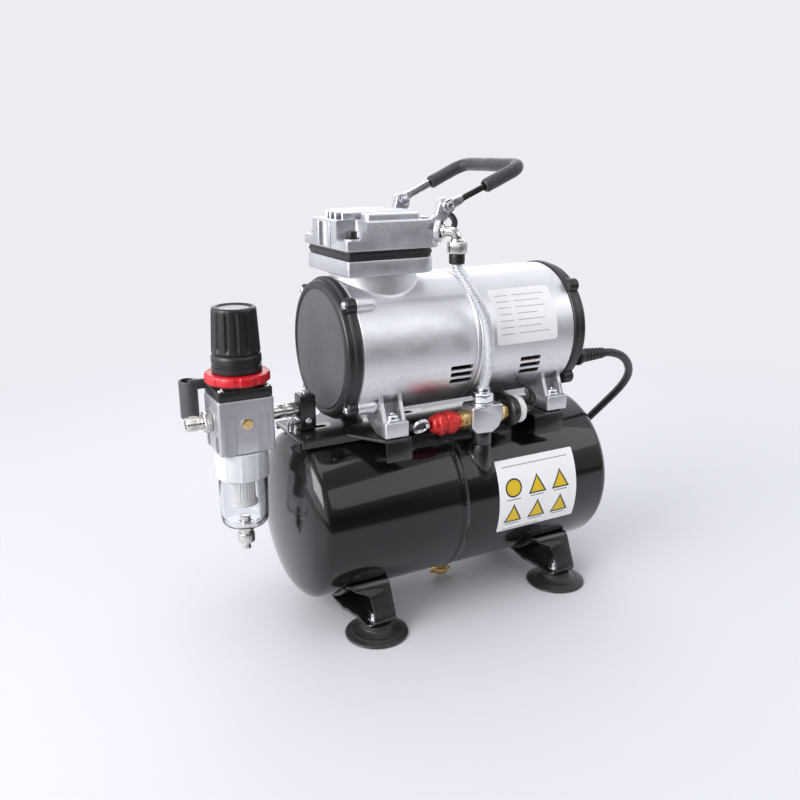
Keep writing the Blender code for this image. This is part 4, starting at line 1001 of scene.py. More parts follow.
# ======================================================================
# mains lead: strain relief, cord with its coil, tie and plug
# ======================================================================
def lead():
    x0 = 101.1
    # ribbed, tapered strain relief with a flange against the cover
    prof = [(0, x0), (7.0, x0), (7.0, x0 + 2.6), (5.9, x0 + 3.4)]
    ribs = 6
    for k in range(ribs):
        a = x0 + 4.6 + k * 3.5
        r = 5.55 - 0.24 * k
        prof += [(r, a), (r, a + 2.1), (r - 0.95, a + 2.4), (r - 0.95, a + 3.2)]
    prof += [(4.1, x0 + 25.7), (4.1, x0 + 26.0), (0, x0 + 26.0)]
    relief = place("strain_relief_ribbed", lathe(prof, "X", (0, CORD_Y, CORD_Z), 48, 0.28, 2), M["cord"],
                   replaces=("strain_relief",))

    pts = [(x0 + 26.3, CORD_Y, CORD_Z), (x0 + 36, CORD_Y + 0.6, 177.0), (x0 + 49, -33.5, 172.4), (x0 + 62, -27.5, 163.5),
           (x0 + 73, -18.0, 151.0), (x0 + 78, -4.5, 135.5), (x0 + 75, 13.0, 115.0), (x0 + 65, 33.0, 88.0),
           (x0 + 52, 52.0, 58.0), (x0 + 40, 68.0, 33.0), (x0 + 30, 80.0, 15.0), (x0 + 22, 89.0, 5.8)]

    # the coil: three columns, two layers, each turn a diameter from the next
    cols = (42.7, 36.1, 29.5)
    z1, z2 = 3.9, 10.5

    def mix(a, b, t):
        t = min(max(t, 0.0), 1.0)
        return a + (b - a) * (3 - 2 * t) * t * t

    def coil(deg):
        """Radius and height after turning through deg."""
        if deg < 360:
            return mix(cols[0], cols[1], (deg - 250) / 110), z1
        if deg < 720:
            return mix(cols[1], cols[2], (deg - 610) / 110), z1
        if deg < 1080:
            return cols[2], mix(z1, z2, (deg - 970) / 110)
        if deg < 1440:
            return mix(cols[2], cols[1], (deg - 1330) / 110), z2
        if deg < 1800:
            return mix(cols[1], cols[0], (deg - 1690) / 110), z2
        return cols[0], z2

    # the lead comes in beside the coil and closes onto its outer turn
    entry = []
    for deg in (-12, -2, 8, 18, 28):
        t = (deg + 18) / 48
        r = mix(51.3, cols[0], t)
        a = math.radians(deg)
        entry.append((COIL_X + r * math.cos(a), COIL_Y + r * math.sin(a), mix(3.6, z1, t)))
    route = smooth_path(pts + [(x0 + 14, 97.5, 3.6)] + entry, 3)
    line = list(route)
    deg = 34.0
    end = 87.9 + 1800.0
    while deg < end:
        r, z = coil(deg)
        a = math.radians(deg)
        line.append(Vector((COIL_X + r * math.cos(a), COIL_Y + r * math.sin(a), z)))
        deg += 7.5
    # off the coil, down to the surface, round and into the plug
    px, py, pz = COIL_X - 65.0, COIL_Y + 20.0, 10.2
    a = math.radians(87.9)
    big = 30.0
    p0 = Vector((COIL_X + cols[0] * math.cos(a), COIL_Y + cols[0] * math.sin(a), z2))
    c2 = Vector((px + big, py - 6.0, 0))
    p1 = Vector((c2.x + big * math.cos(a), c2.y + big * math.sin(a), 0))
    tail = [p0 + (p1 - p0) * t for t in (0.0, 0.33, 0.67)]
    tail += [Vector((c2.x + big * math.cos(math.radians(g)), c2.y + big * math.sin(math.radians(g)), 0))
             for g in (87.9, 101, 114, 127, 140, 153, 166, 180)]
    tail.append(Vector((px, py - 9.0, 0)))
    total = sum((tail[i + 1].xy - tail[i].xy).length for i in range(len(tail) - 1))
    run = 0.0
    for i, p in enumerate(tail):
        t = run / total
        p.z = mix(z2, 8.4, t / 0.5) if t < 0.5 else mix(8.4, pz, (t - 0.5) / 0.42)
        if i < len(tail) - 1:
            run += (tail[i + 1].xy - p.xy).length
    line += smooth_path(tail, 3)

    cu = bpy.data.curves.new("mains_cord", "CURVE")
    cu.dimensions = "3D"
    cu.bevel_depth = CORD_D / 2 * MM
    cu.bevel_resolution = 6
    cu.use_fill_caps = True
    cu.resolution_u = 1
    sp = cu.splines.new("POLY")
    sp.points.add(len(line) - 1)
    sp.use_smooth = True
    for k, q in enumerate(line):
        sp.points[k].co = (*V(*q), 1.0)
    cu.materials.append(M["cord"])
    cord = bpy.data.objects.new("mains_cord", cu)
    bpy.context.scene.collection.objects.link(cord)
    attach(cord, "base")
    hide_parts("power_cord", "cord_coil")

    # plug: moulded body with grip ribs, a neck and two pins
    half = [(5.2, 0.0), (5.6, -5.0), (8.6, -11.0), (12.6, -19.0), (13.8, -28.0), (13.8, -33.6)]
    out = [(px + s, py + b - 6.0) for s, b in half] + [(px - s, py + b - 6.0) for s, b in reversed(half)]
    bm = prism(fillet(out, 1.6, 4, True), pz - 8.6, pz + 8.6, "Z", 2.6, 5)
    for k in range(5):
        y = py - 6.0 - 14.5 - k * 3.2
        w = 8.6 + min(1.0, (14.5 + 3.2 * k - 11) / 8.0) * 4.4
        for s in (-1, 1):
            block(px + s * w - 1.3, px + s * w + 1.3, y - 0.8, y + 0.8, pz - 5.6, pz + 5.6, 0.5, 2, bm)
            block(px - 7.5, px + 7.5, y - 0.7, y + 0.7, pz + s * 8.5 - 0.5, pz + s * 8.5 + 0.5, 0.3, 2, bm)
    lathe([(0, -6.5), (4.9, -6.5), (4.7, -3.0), (4.4, 0.0), (4.0, 0.3), (0, 0.3)], "Y", (px, py - 6.0, pz), 32, 0.3, 2, bm=bm)
    plug = place("mains_plug", bm, M["plug"], replaces=("power_plug",))
    bm = bmesh.new()
    for s in (-1, 1):
        lathe([(0, -18.8), (1.3, -18.8), (2.3, -17.4), (2.35, -1.0), (2.35, 1.0), (0, 1.0)], "Y",
              (px + s * 9.5, py - 40.0, pz), 28, 0.5, 3, bm=bm)
    pins = place("mains_plug_pins", bm, M["chrome"])

    # tie round the coil
    t = math.radians(238)
    rc, zc = 36.1, 7.2
    sect = fillet([(-10.75, -6.75), (10.75, -6.75), (10.75, 6.75), (-10.75, 6.75)], 3.4, 6, True)
    c, s = math.cos(t), math.sin(t)
    loop = [Vector((COIL_X + (rc + u) * c, COIL_Y + (rc + u) * s, zc + w)) for u, w in sect]
    bm = sweep(loop, [(-1.7, -0.3), (1.7, -0.3), (1.7, 0.3), (-1.7, 0.3)], loop=True, up=(-s, c, 0))
    top = Vector((COIL_X + (rc + 3) * c, COIL_Y + (rc + 3) * s, zc + 7.6))
    block(top.x - 2.6, top.x + 2.6, top.y - 2.6, top.y + 2.6, zc + 6.6, zc + 9.0, 0.5, 2, bm)
    tie = place("coil_tie", bm, M["plug"])


lead()


# ======================================================================
# tank, legs and feet
# ======================================================================
def wrap(bm, rows, x0, width, height, angle, lift, thick, radius=TANK_R, cz=TANK_Z, shape=None, skew=0.0, cols=14):
    """A thin film lying on a horizontal cylinder.

    width runs along X from x0, height round the cylinder about angle (degrees
    up from the front); shape(t) gives the share of the width at height t.
    """
    mid = math.radians(angle)
    outer, inner = [], []
    for k in range(rows + 1):
        t = k / rows
        w = (shape(t) if shape else 1.0) * width / 2
        a = mid + (t - 0.5) * height / radius
        ro, ri = [], []
        for j in range(cols + 1):
            x = x0 + width / 2 + (2 * j / cols - 1) * w + skew * (t - 0.5)
            for r, ring in ((radius + lift + thick, ro), (radius + lift, ri)):
                ring.append(bm.verts.new((x, -r * math.cos(a), cz + r * math.sin(a))))
        outer.append(ro)
        inner.append(ri)
    for k in range(rows):
        for j in range(cols):
            bm.faces.new((outer[k][j], outer[k][j + 1], outer[k + 1][j + 1], outer[k + 1][j]))
            bm.faces.new((inner[k][j], inner[k + 1][j], inner[k + 1][j + 1], inner[k][j + 1]))
    for k in range(rows):
        for j in (0, cols):
            bm.faces.new((outer[k][j], outer[k + 1][j], inner[k + 1][j], inner[k][j]))
    for j in range(cols):
        for k in (0, rows):
            bm.faces.new((outer[k][j], inner[k][j], inner[k][j + 1], outer[k][j + 1]))


def round_ends(corner, height, width):
    """Share of the width at t for a rectangle with rounded corners."""
    def f(t):
        y = abs(t - 0.5) * height
        flat = height / 2 - corner
        if y <= flat:
            return 1.0
        d = min(y - flat, corner)
        return 1.0 - 2 * (corner - math.sqrt(max(0.0, corner * corner - d * d))) / width
    return f


def tank():
    dome = [(0, 130.6), (14, 130.2), (28, 129.0), (40, 127.1), (50, 124.4), (56, 121.2), (59.6, 117.6), (61, 113.2)]
    fine = [tuple(p[:2]) for p in smooth_path([(-8, 130.5, 0)] + [(r, h, 0) for r, h in dome] + [(61, 108, 0)], 5)]
    fine = [p for p in fine if p[0] > 1.0 and p[1] >= 113.2]
    right = [(0, 130.6)] + fine
    left = [(r, -x) for r, x in right]
    # the right shell slips over the left one: weld bead and swaged step
    seam = [(61.0, -40), (61.0, SEAM_X - 4.2), (60.96, SEAM_X - 3.4), (61.25, SEAM_X - 2.7), (61.7, SEAM_X - 1.6),
            (61.88, SEAM_X - 0.4), (61.8, SEAM_X + 0.8), (61.42, SEAM_X + 1.9), (61.12, SEAM_X + 2.6),
            (60.8, SEAM_X + 3.2), (60.84, SEAM_X + 3.9), (61.0, SEAM_X + 4.8), (61.0, 40)]
    bead = []
    for r, x in seam:
        bead.append((r, x))

    def ripple(a, h, r):
        if abs(h - SEAM_X) < 3.0:
            return r + 0.055 * math.sin(a * 92 + 0.6 * math.sin(a * 7)) * (1 - abs(h - SEAM_X) / 3.0)
        return r

    bm = lathe(left + bead + list(reversed(right)), "X", (0, 0, TANK_Z), 384, polar=ripple)
    place("tank", bm, M["tank"], replaces=("tank_shell",), smooth=50)

    # welded bosses: a fillet of weld round each
    def boss(name, x, y, top, r, h, seat_up):
        bm = bmesh.new()
        seg = 72
        rings = []
        sign = 1 if seat_up else -1

        def surface(px, py):
            d = TANK_R * TANK_R - py * py
            return TANK_Z + sign * math.sqrt(max(d, 1.0))

        fil = 2.6
        for k in range(7):
            t = math.pi / 2 * k / 6
            rr = r + fil * (1 - math.sin(t))
            ring = []
            for i in range(seg):
                a = 2 * math.pi * i / seg
                wob = 0.16 * math.sin(9 * a + k) + 0.1 * math.sin(23 * a)
                q = rr + wob * (1 - k / 6)
                px, py = x + q * math.cos(a), y + q * math.sin(a)
                z = surface(px, py) + sign * fil * (1 - math.cos(t)) - sign * 0.25 * (k == 0)
                ring.append(bm.verts.new((px, py, z)))
            rings.append(ring)
        for rr, zz in ((r, top - sign * 1.0), (r - 0.3, top - sign * 0.3), (r - 1.0, top), (r - 3.2, top)):
            rings.append([bm.verts.new((x + rr * math.cos(2 * math.pi * i / seg), y + rr * math.sin(2 * math.pi * i / seg), zz))
                          for i in range(seg)])
        for a, b in zip(rings, rings[1:]):
            bridge(bm, a, b, seg)
        bm.faces.new(rings[0])
        bm.faces.new(rings[-1])
        place(name, bm, M["leg"], smooth=40)

    boss("tank_boss_top", TEE_X, MAN_Y, 127.0, 7.0, 0, True)
    boss("tank_boss_drain", 4.0, 0.0, 14.6, 8.0, 0, False)

    # blank information label with plain colour blocks
    bm = bmesh.new()
    wrap(bm, 40, 17.0, 71.0, 56.0, 6.0, 0.02, 0.16, shape=round_ends(0.6, 56.0, 71.0), cols=24)
    place("tank_label", bm, M["label"], smooth=50)
    def tri(t):
        return max(0.05, 1.0 - t)

    def disc(t):
        return max(0.02, math.sqrt(max(0.0, 1.0 - (2 * t - 1) ** 2)))

    dark, yellow, pale = bmesh.new(), bmesh.new(), bmesh.new()
    for row, ang in enumerate((12.0, -6.5)):
        for c in range(3):
            x0 = 22.6 + c * 21.4
            if row == 0 and c == 0:
                wrap(dark, 20, x0, 14.6, 14.6, ang, 0.17, 0.03, shape=disc, cols=8)
                wrap(yellow, 20, x0 + 1.3, 12.0, 12.0, ang, 0.20, 0.03, shape=disc, cols=8)
            else:
                wrap(dark, 16, x0 - 0.9, 16.4, 14.4, ang, 0.17, 0.03, shape=tri, cols=8)
                wrap(yellow, 16, x0 + 1.2, 12.2, 10.9, ang - 0.55, 0.20, 0.03, shape=tri, cols=8)
            # caption rule below each block
            wrap(pale, 2, x0 + 1.0, 12.4, 0.9, ang - 8.2, 0.17, 0.03, cols=4)
    place("tank_label_borders", dark, M["mark_black"], smooth=50)
    place("tank_label_blocks", yellow, M["mark_yellow"], smooth=50)
    place("tank_label_captions", pale, M["mark_grey"], smooth=50)
    bm = bmesh.new()
    wrap(bm, 2, 22.0, 60.0, 0.7, 27.2, 0.17, 0.05, cols=30)
    wrap(bm, 2, 22.0, 34.0, 0.7, -19.0, 0.17, 0.05, cols=16)
    place("tank_label_rules", bm, M["mark_grey"], smooth=50)


def leg(sx, sy):
    fx, fy = ("left", "right")[sx > 0], ("front", "rear")[sy > 0]
    cx = sx * FOOT_X

    def on_tank(theta, r):
        a = math.radians(theta)
        return (sy * r * math.sin(a), TANK_Z - r * math.cos(a))

    r0 = TANK_R + 1.35
    mid = [on_tank(t, r0) for t in (16.5, 22, 28, 34, 40, 45, 48.5)]
    mid += [(sy * 49.6, 35.2), (sy * 52.5, 27.8), (sy * 56.2, 19.8), (sy * 59.3, 13.2), (sy * 59.0, 10.9), (sy * 57.0, 10.0),
            (sy * 52.0, 10.0), (sy * 46.8, 10.0), (sy * 44.0, 10.6), (sy * 38.0, 12.6), (sy * 31.6, 14.5), (sy * 24.5, 17.6)]
    # wide saddle, a narrower outer strip set to one side, a brace that spreads inwards
    wide = [(-20.5, 11.5)] * 7 + [(-16.5, 11.6), (-5.0, 11.8), (-4.5, 11.8), (-5.5, 11.6), (-8.5, 11.0)]
    wide += [(-10.5, 10.5)] * 3 + [(-11.0, 10.5), (-14.5, 10.8), (-18.0, 11.1), (-20.0, 11.5)]
    path = smooth_path([(0, y, z) for y, z in mid], 5, loop=True)
    bm = bmesh.new()
    rings = []
    n = len(path)
    centre = Vector((0, sy * 44.0, 20.0))
    for i, p in enumerate(path):
        t = (path[(i + 1) % n] - path[i - 1]).normalized()
        out = Vector((0, -t.z, t.y))
        if out.dot(p - centre) < 0:
            out = -out
        u = i * len(mid) / n
        a, b = wide[int(u) % len(mid)], wide[(int(u) + 1) % len(mid)]
        f = (u % 1.0) ** 2 * (3 - 2 * (u % 1.0))
        lo, hi = cx + a[0] * (1 - f) + b[0] * f, cx + a[1] * (1 - f) + b[1] * f
        sect = fillet([(lo, -1.0), (hi, -1.0), (hi, 1.0), (lo, 1.0)], 0.45, 2, True)
        rings.append([bm.verts.new((a, p.y + out.y * b, p.z + out.z * b)) for a, b in sect])
    for i in range(n):
        bridge(bm, rings[i], rings[(i + 1) % n], len(rings[0]))
    name = f"leg_{fy}_{fx}"
    place(name + "_strip", bm, M["leg"], replaces=(name,), smooth=45)

    # screw from the foot with washer and nut on the strip, and weld beads to the tank
    bm = bmesh.new()
    lathe([(0, 11.2), (6.4, 11.2), (6.4, 12.3), (0, 12.3)], "Z", (cx, sy * FOOT_Y, 0), 40, 0.3, 2, bm=bm)
    prism(hexagon(5.2, cx, sy * FOOT_Y, 0.3), 12.3, 16.4, "Z", 0.5, 2, bm)
    lathe([(0, 15.8), (2.6, 15.8), (2.6, 18.0), (2.0, 18.6), (0, 18.6)], "Z", (cx, sy * FOOT_Y, 0), 28, 0.2, 2, bm=bm)
    place(name + "_screw", bm, M["steel"], smooth=30)
    bm = bmesh.new()
    for side in (-1, 1):
        bead = []
        for k in range(24):
            th = 17.0 + (46.0 - 17.0) * k / 23
            y, z = on_tank(th, TANK_R + 0.7)
            edge = cx + 11.5 if side > 0 else cx - 20.5
            bead.append((edge + side * 0.5, y, z))
        sweep(bead, circle(1.15, 10), bm=bm, scale=lambda i: 0.85 + 0.2 * math.sin(i * 2.1) if 0 < i < 23 else 0.4)
    place(name + "_welds", bm, M["leg"], smooth=60)

    prof = [(0, 3.4), (10.5, 2.5), (17.5, 0.35), (19.6, 0.0), (21.9, 0.0), (22.6, 0.35), (22.65, 0.9), (22.0, 1.55),
            (20.2, 2.35), (18.4, 3.0), (18.1, 3.3), (16.4, 3.85), (16.0, 3.75), (14.2, 4.5), (12.4, 5.3), (11.3, 6.0),
            (10.9, 6.6), (10.9, 8.2), (10.3, 8.7), (4.0, 8.7), (3.1, 8.75), (3.1, 11.4), (0, 11.4)]
    bm = lathe(prof, "Z", (cx, sy * FOOT_Y, 0), 112, 0.35, 2)
    place(f"foot_{fy}_{fx}", bm, M["rubber"], replaces=(f"suction_foot_{fy}_{fx}",), smooth=40)


tank()
for sx in (-1, 1):
    for sy in (-1, 1):
        leg(sx, sy)


def drain():
    bm = prism(hexagon(6.9, 4.0, 0.0, 0.2), 8.2, 14.0, "Z", 0.7, 3)
    lathe([(0, 7.5), (5.4, 7.5), (5.7, 8.4), (0, 8.4)], "Z", (4, 0, 0), 40, 0.2, 2, bm=bm)
    thread(3.3, 3.75, 0.9, 13.6, 20.0, "Z", (4, 0, 0), 36, bm)
    place("drain_body", bm, M["brass"], replaces=("tank_drain_body",), smooth=30)

    def knurl(a, h, r):
        return r - 0.22 * (0.5 + 0.5 * math.cos(a * 34)) if 3.1 < h < 6.5 and r > 5 else r

    bm = lathe([(0, 2.4), (5.0, 2.4), (5.6, 3.0), (5.75, 3.3), (5.75, 6.2), (5.3, 6.7), (4.5, 7.25), (0, 7.25)], "Z",
               (4, 0, 0), 136, 0, 2, knurl)
    block(4 - 9, 4 + 9, -1.3, 1.3, 2.7, 6.5, 0.55, 3, bm)
    place("drain_knob", bm, M["brass"], "tank_valve", ("tank_drain_knob",), smooth=32)


drain()


# ======================================================================
# motor plate and mounting bolts
# ======================================================================
def plate():
    z0, z1 = 140.3, 142.3
    main = prism(rect(-122, 90, -26, 26, 3.0, 5), z0, z1, "Z", 0.35, 2)
    adds = []
    for wide, x0, x1 in ((-89.0, -71.5, -52.02), (89.0, 78.0, 52.02)):
        adds.append(prism(fillet([(x1, -50.4), (x0, -50.4), (wide, -24.5), (wide, 24.5), (x0, 50.4), (x1, 50.4)], 1.2, 4, True),
                          z0, z1 - 0.02, "Z", 0.3, 2))
        x0, x1 = min(x0, x1), max(x0, x1)
        # bent channel: down flange, bend, flat, bend, down flange
        half = [(53.0, 127.0), (53.0, 139.6), (52.3, 141.3), (50.6, 142.28)]
        inner = [(51.0, 127.0), (51.0, 139.2), (50.7, 140.0), (50.0, 140.32)]
        outline = half + [(-y, z) for y, z in reversed(half)] + [(-y, z) for y, z in inner] + list(reversed(inner))
        adds.append(prism(outline, x0, x1, "X", 0.3, 2))
    for s in (-1, 1):
        # folded edge with its bend
        fold = [(s * 24.3, 136.7), (s * 25.92, 136.7), (s * 25.92, 140.7), (s * 25.5, 141.7), (s * 24.6, 142.22), (s * 22.0, 142.22),
                (s * 22.0, 140.5), (s * 23.9, 140.2)]
        adds.append(prism(fold, -120.8, 88.8, "X", 0.25, 2))
    cuts = [lathe([(0, z0 - 3), (3.1, z0 - 3), (3.1, z1 + 3), (0, z1 + 3)], "Z", (x, s * MOUNT_Y, 0), 36)
            for x in MOUNT_X for s in (-1, 1)]
    for x in (-100.0, -30.0, 30.0):
        cuts.append(prism(rect(x - 7, x + 7, -2.6, 2.6, 2.55, 6), z0 - 3, z1 + 3, "Z"))
    bm = solve(main, adds, cuts)
    place("plate_pressed", bm, M["sheet"], replaces=("motor_plate",), smooth=32)


def mounts():
    for fx, x in (("left", MOUNT_X[0]), ("right", MOUNT_X[1])):
        for fy, s in (("front", -1), ("rear", 1)):
            y = s * MOUNT_Y
            c = (x, y, 0)
            # pan head on a washer, shank, nyloc nut and thread end below the plate
            bm = screw((x, y, 154.2), (0, 0, 1), 4.6, 3.0, "cross", 48, washer=6.4)
            lathe([(0, 143), (2.7, 143), (2.7, 154.2), (0, 154.2)], "Z", c, 32, bm=bm)
            lathe([(0, 139.1), (6.2, 139.1), (6.2, 140.1), (0, 140.1)], "Z", c, 48, 0.25, 2, bm=bm)
            prism(hexagon(5.6, x, y, 0.3), 135.2, 139.1, "Z", 0.55, 3, bm)
            thread(2.35, 2.7, 0.8, 129.4, 135.2, "Z", c, 32, bm)
            name = f"mount_bolt_{fy}_{fx}"
            place(name + "_set", bm, M["chrome"], replaces=(name,), smooth=30)
            # flanged rubber bush squeezed between the foot and the plate
            bm = bmesh.new()
            lathe([(3.3, 142.35), (7.4, 142.35), (7.7, 142.45), (7.7, 142.55), (3.3, 142.55)], "Z", c, 48, bm=bm)
            place(name + "_pad", bm, M["gasket"], smooth=40)


plate()
mounts()


# ======================================================================
# motor: crankcase, housing, covers
# ======================================================================
def web_outline(s):
    pts = [(s * 20, 170), (s * 20, 150), (s * 33, 143.4), (s * 44, 143.4), (s * 47.0, 152.5), (s * 41, 166), (s * 39.4, 176)]
    return fillet(pts, 1.2, 3, True)


def foot_blocks(x):
    adds = []
    for s in (-1, 1):
        y0, y1 = sorted((s * 33.6, s * 50.5))
        adds.append(block(x - 9, x + 9, y0, y1, 142.7, 153.9, 1.3, 3))
        adds.append(prism(web_outline(s), x - 8.6, x - 5.6, "X", 0.6, 2))
        adds.append(prism(web_outline(s), x + 5.6, x + 8.6, "X", 0.6, 2))
        wedge = [(s * 24, 169), (s * 24, 150), (s * 33, 145.5), (s * 35.0, 153.5), (s * 35.0, 156.5), (s * 33.4, 166)]
        adds.append(prism(wedge, x - 6.2, x + 6.2, "X"))
    return adds


def vent_cuts(x0):
    out = []
    for s in (-1, 1):
        for k in range(3):
            z = 185.0 - 5.2 * k
            a, b = x0 + 0.8 * k, x0 + 18 + 0.8 * k
            y0, y1 = sorted((s * 34, s * 53))
            out.append(prism([(p[0], p[1]) for p in rect(a, b, z - 1.6, z + 1.6, 0.9, 4)], y0, y1, "Y"))
    return out


def crankcase():
    c = (0, 0, MOTOR_Z)
    x0, x1 = -86.0, 6.0
    body = [(0, x0), (MOTOR_R - 1.2, x0), (MOTOR_R, x0 + 1.2), (MOTOR_R, x1 - 6.0), (MOTOR_R, x1 - 4.6), (MOTOR_R - 0.5, x1 - 4.2),
            (MOTOR_R - 0.5, x1 - 3.2), (MOTOR_R, x1 - 2.8), (MOTOR_R, x1 - 1.0), (MOTOR_R - 0.9, x1), (0, x1)]
    bm = lathe(body, "X", c, 160)

    # neck under the pump, flaring into the case
    neck = bmesh.new()
    seg = 144
    R, rn = MOTOR_R, 30.5
    rings = []

    def surf(y):
        return MOTOR_Z + math.sqrt(max(R * R - y * y, 4.0))

    tops = [(rn - 0.5, 250.3), (rn, 249.8)]
    for r, z in tops:
        rings.append([neck.verts.new((HX + r * math.cos(2 * math.pi * i / seg), r * math.sin(2 * math.pi * i / seg), z))
                      for i in range(seg)])
    fil = 1.5
    for k in range(9):
        t = math.pi / 2 * k / 8
        ring = []
        for i in range(seg):
            a = 2 * math.pi * i / seg
            limit = 86.0 - abs(HX)
            wide = fil
            if math.cos(a) < 0:
                reach = (limit - 0.2) / max(1e-3, -math.cos(a)) - rn
                wide = max(0.25, min(fil, reach))
            r = rn + wide * (1 - math.cos(t))
            y = r * math.sin(a)
            z = surf(y) + wide * 1.15 * (1 - math.sin(t)) - 0.12 * (k == 8)
            ring.append(neck.verts.new((HX + r * math.cos(a), y, min(z, 249.5))))
        rings.append(ring)
    last = []
    for i in range(seg):
        a = 2 * math.pi * i / seg
        r = rn - 3
        last.append(neck.verts.new((HX + r * math.cos(a), r * math.sin(a), surf(r * math.sin(a)) - 4.0)))
    rings.append(last)
    for a, b in zip(rings, rings[1:]):
        bridge(neck, a, b, seg)
    neck.faces.new(rings[0])
    neck.faces.new(rings[-1])

    lugs = []
    for k in range(4):
        a = math.radians(45 + 90 * k)
        lugs.append(lathe([(0, x0 + 0.2), (5.0, x0 + 0.2), (5.0, x0 + 12), (3.2, x0 + 15.5), (0, x0 + 16.2)], "X",
                          (0, 49.4 * math.cos(a), MOTOR_Z + 49.4 * math.sin(a)), 36, 0.5, 3))
    cuts = [lathe([(0, x0 - 5), (44.2, x0 - 5), (44.2, -36), (0, -36)], "X", c, 96),
            lathe([(0, -28), (45.2, -28), (45.2, x1 + 5), (0, x1 + 5)], "X", c, 96),
            lathe([(0, -40), (13.0, -40), (13.0, -24), (0, -24)], "X", c, 48),
            lathe([(0, 205), (26.5, 205), (26.5, 260), (0, 260)], "Z", (HX, 0, 0), 96)]
    cuts += [lathe([(0, 140), (3.1, 140), (3.1, 160), (0, 160)], "Z", (MOUNT_X[0], s * MOUNT_Y, 0), 32) for s in (-1, 1)]
    bm = solve(bm, [neck] + foot_blocks(MOUNT_X[0]) + lugs, cuts + vent_cuts(-18.0))
    place("crankcase_cast", bm, M["motor"], replaces=("crankcase",), smooth=28)


def housing():
    c = (0, 0, MOTOR_Z)
    x0, x1 = 6.3, 88.0
    body = [(0, x0), (MOTOR_R - 0.9, x0), (MOTOR_R, x0 + 1.0), (MOTOR_R, x0 + 3.0), (MOTOR_R - 0.45, x0 + 3.4), (MOTOR_R - 0.45, x0 + 4.4),
            (MOTOR_R, x0 + 4.8), (MOTOR_R, x1 - 0.6), (MOTOR_R - 0.6, x1), (0, x1)]
    bm = lathe(body, "X", c, 160)
    cuts = [lathe([(0, x0 - 5), (45.2, x0 - 5), (45.2, x1 + 5), (0, x1 + 5)], "X", c, 96)]
    cuts += [lathe([(0, 140), (3.1, 140), (3.1, 160), (0, 160)], "Z", (MOUNT_X[1], s * MOUNT_Y, 0), 32) for s in (-1, 1)]
    bm = solve(bm, foot_blocks(MOUNT_X[1]), cuts + vent_cuts(41.0))
    place("housing_can", bm, M["motor"], replaces=("motor_housing",), smooth=28)

    # blank rating label with plain rules
    bm = bmesh.new()
    wrap(bm, 26, 19.0, 53.0, 42.0, 24.0, 0.02, 0.14, MOTOR_R, MOTOR_Z, round_ends(2.0, 42.0, 53.0), cols=20)
    place("motor_label", bm, M["label"], smooth=50)
    bm = bmesh.new()
    for k in range(7):
        ang = 41.5 - k * 5.6
        wrap(bm, 1, 23.0, 11.0, 0.45, ang, 0.15, 0.04, MOTOR_R, MOTOR_Z, cols=6)
        wrap(bm, 1, 38.0, (28.0, 22.0, 26.0, 18.0, 24.0, 20.0, 27.0)[k], 0.45, ang, 0.15, 0.04, MOTOR_R, MOTOR_Z, cols=12)
    place("motor_label_rules", bm, M["mark_grey"], smooth=50)


def end_cover(name, node, face, seat):
    d = 1 if face > seat else -1
    c = (0, 0, MOTOR_Z)
    prof = [(0, seat), (48.5, seat), (49.3, seat + d * 0.6), (49.6, seat + d * 1.2), (49.6, seat + d * 4.2), (49.2, seat + d * 4.9),
            (47.9, seat + d * 5.2), (47.5, seat + d * 5.5), (47.5, face - d * 2.6), (47.0, face - d * 1.3), (46.0, face - d * 0.4),
            (44.9, face), (43.6, face), (43.0, face - d * 0.35), (42.6, face - d * 0.85), (41.8, face - d * 0.85),
            (41.2, face - d * 0.45), (40.0, face - d * 0.3), (0, face - d * 0.25)]
    bm = lathe(prof, "X", c, 144, 0.2, 2)
    adds = []
    for k in range(4):
        a = math.radians(45 + 90 * k)
        cy, cz = 49.3 * math.cos(a), MOTOR_Z + 49.3 * math.sin(a)
        adds.append(lathe([(0, seat + d * 0.25), (5.3, seat + d * 0.25), (5.3, face - d * 4.4), (4.5, face - d * 3.4), (0, face - d * 3.4)],
                          "X", (0, cy, cz), 36, 0.5, 3))
    cuts = [lathe([(0, seat - d * 3), (42.0, seat - d * 3), (42.0, face - d * 4.6), (0, face - d * 4.6)], "X", c, 72)]
    if d > 0:
        cuts.append(lathe([(0, seat - 5), (3.9, seat - 5), (3.9, face + 5), (0, face + 5)], "X", (0, CORD_Y, CORD_Z), 36))
        # cooling louvres round the middle of the rear face
        for k in range(10):
            a = 2 * math.pi * (k + 0.5) / 10
            slot_pts = rect(-1.5, 1.5, -7.5, 7.5, 1.45, 5)
            pts = []
            for u, w in slot_pts:
                rr, off = 24.5 + w, u
                pts.append((rr * math.cos(a) - off * math.sin(a), MOTOR_Z + rr * math.sin(a) + off * math.cos(a)))
            if abs(24.5 * math.cos(a) - CORD_Y) < 9 and abs(24.5 * math.sin(a) - (CORD_Z - MOTOR_Z)) < 12:
                continue
            cuts.append(prism(pts, seat, face + 4, "X"))
    bm = solve(bm, adds, cuts)
    ob = place(name, bm, M["cover"], replaces=(node,), smooth=30)
    # painted light: the flat disc inside the rim gets a lighter copy of the cover colour
    ob.data.materials.append(M["cover_face"])
    for f in ob.data.polygons:
        c = f.center
        r = math.hypot(c.y / MM, c.z / MM - MOTOR_Z)
        if r < 41.0 and f.normal.x * d > 0.9 and abs(c.x / MM - SHIFT - (face - d * 0.28)) < 0.5:
            f.material_index = 1
    bm = bmesh.new()
    for k in range(4):
        a = math.radians(45 + 90 * k)
        screw((face - d * 3.5, 50.0 * math.cos(a), MOTOR_Z + 50.0 * math.sin(a)), (d, 0, 0), 2.9, 2.0, "cross", 40, bm)
    place(name + "_screws", bm, M["chrome"], smooth=30)


crankcase()
housing()
end_cover("cover_front_cast", "front_cover", -96.5, -86.3)
end_cover("cover_rear_cast", "rear_cover", 100.8, 88.3)


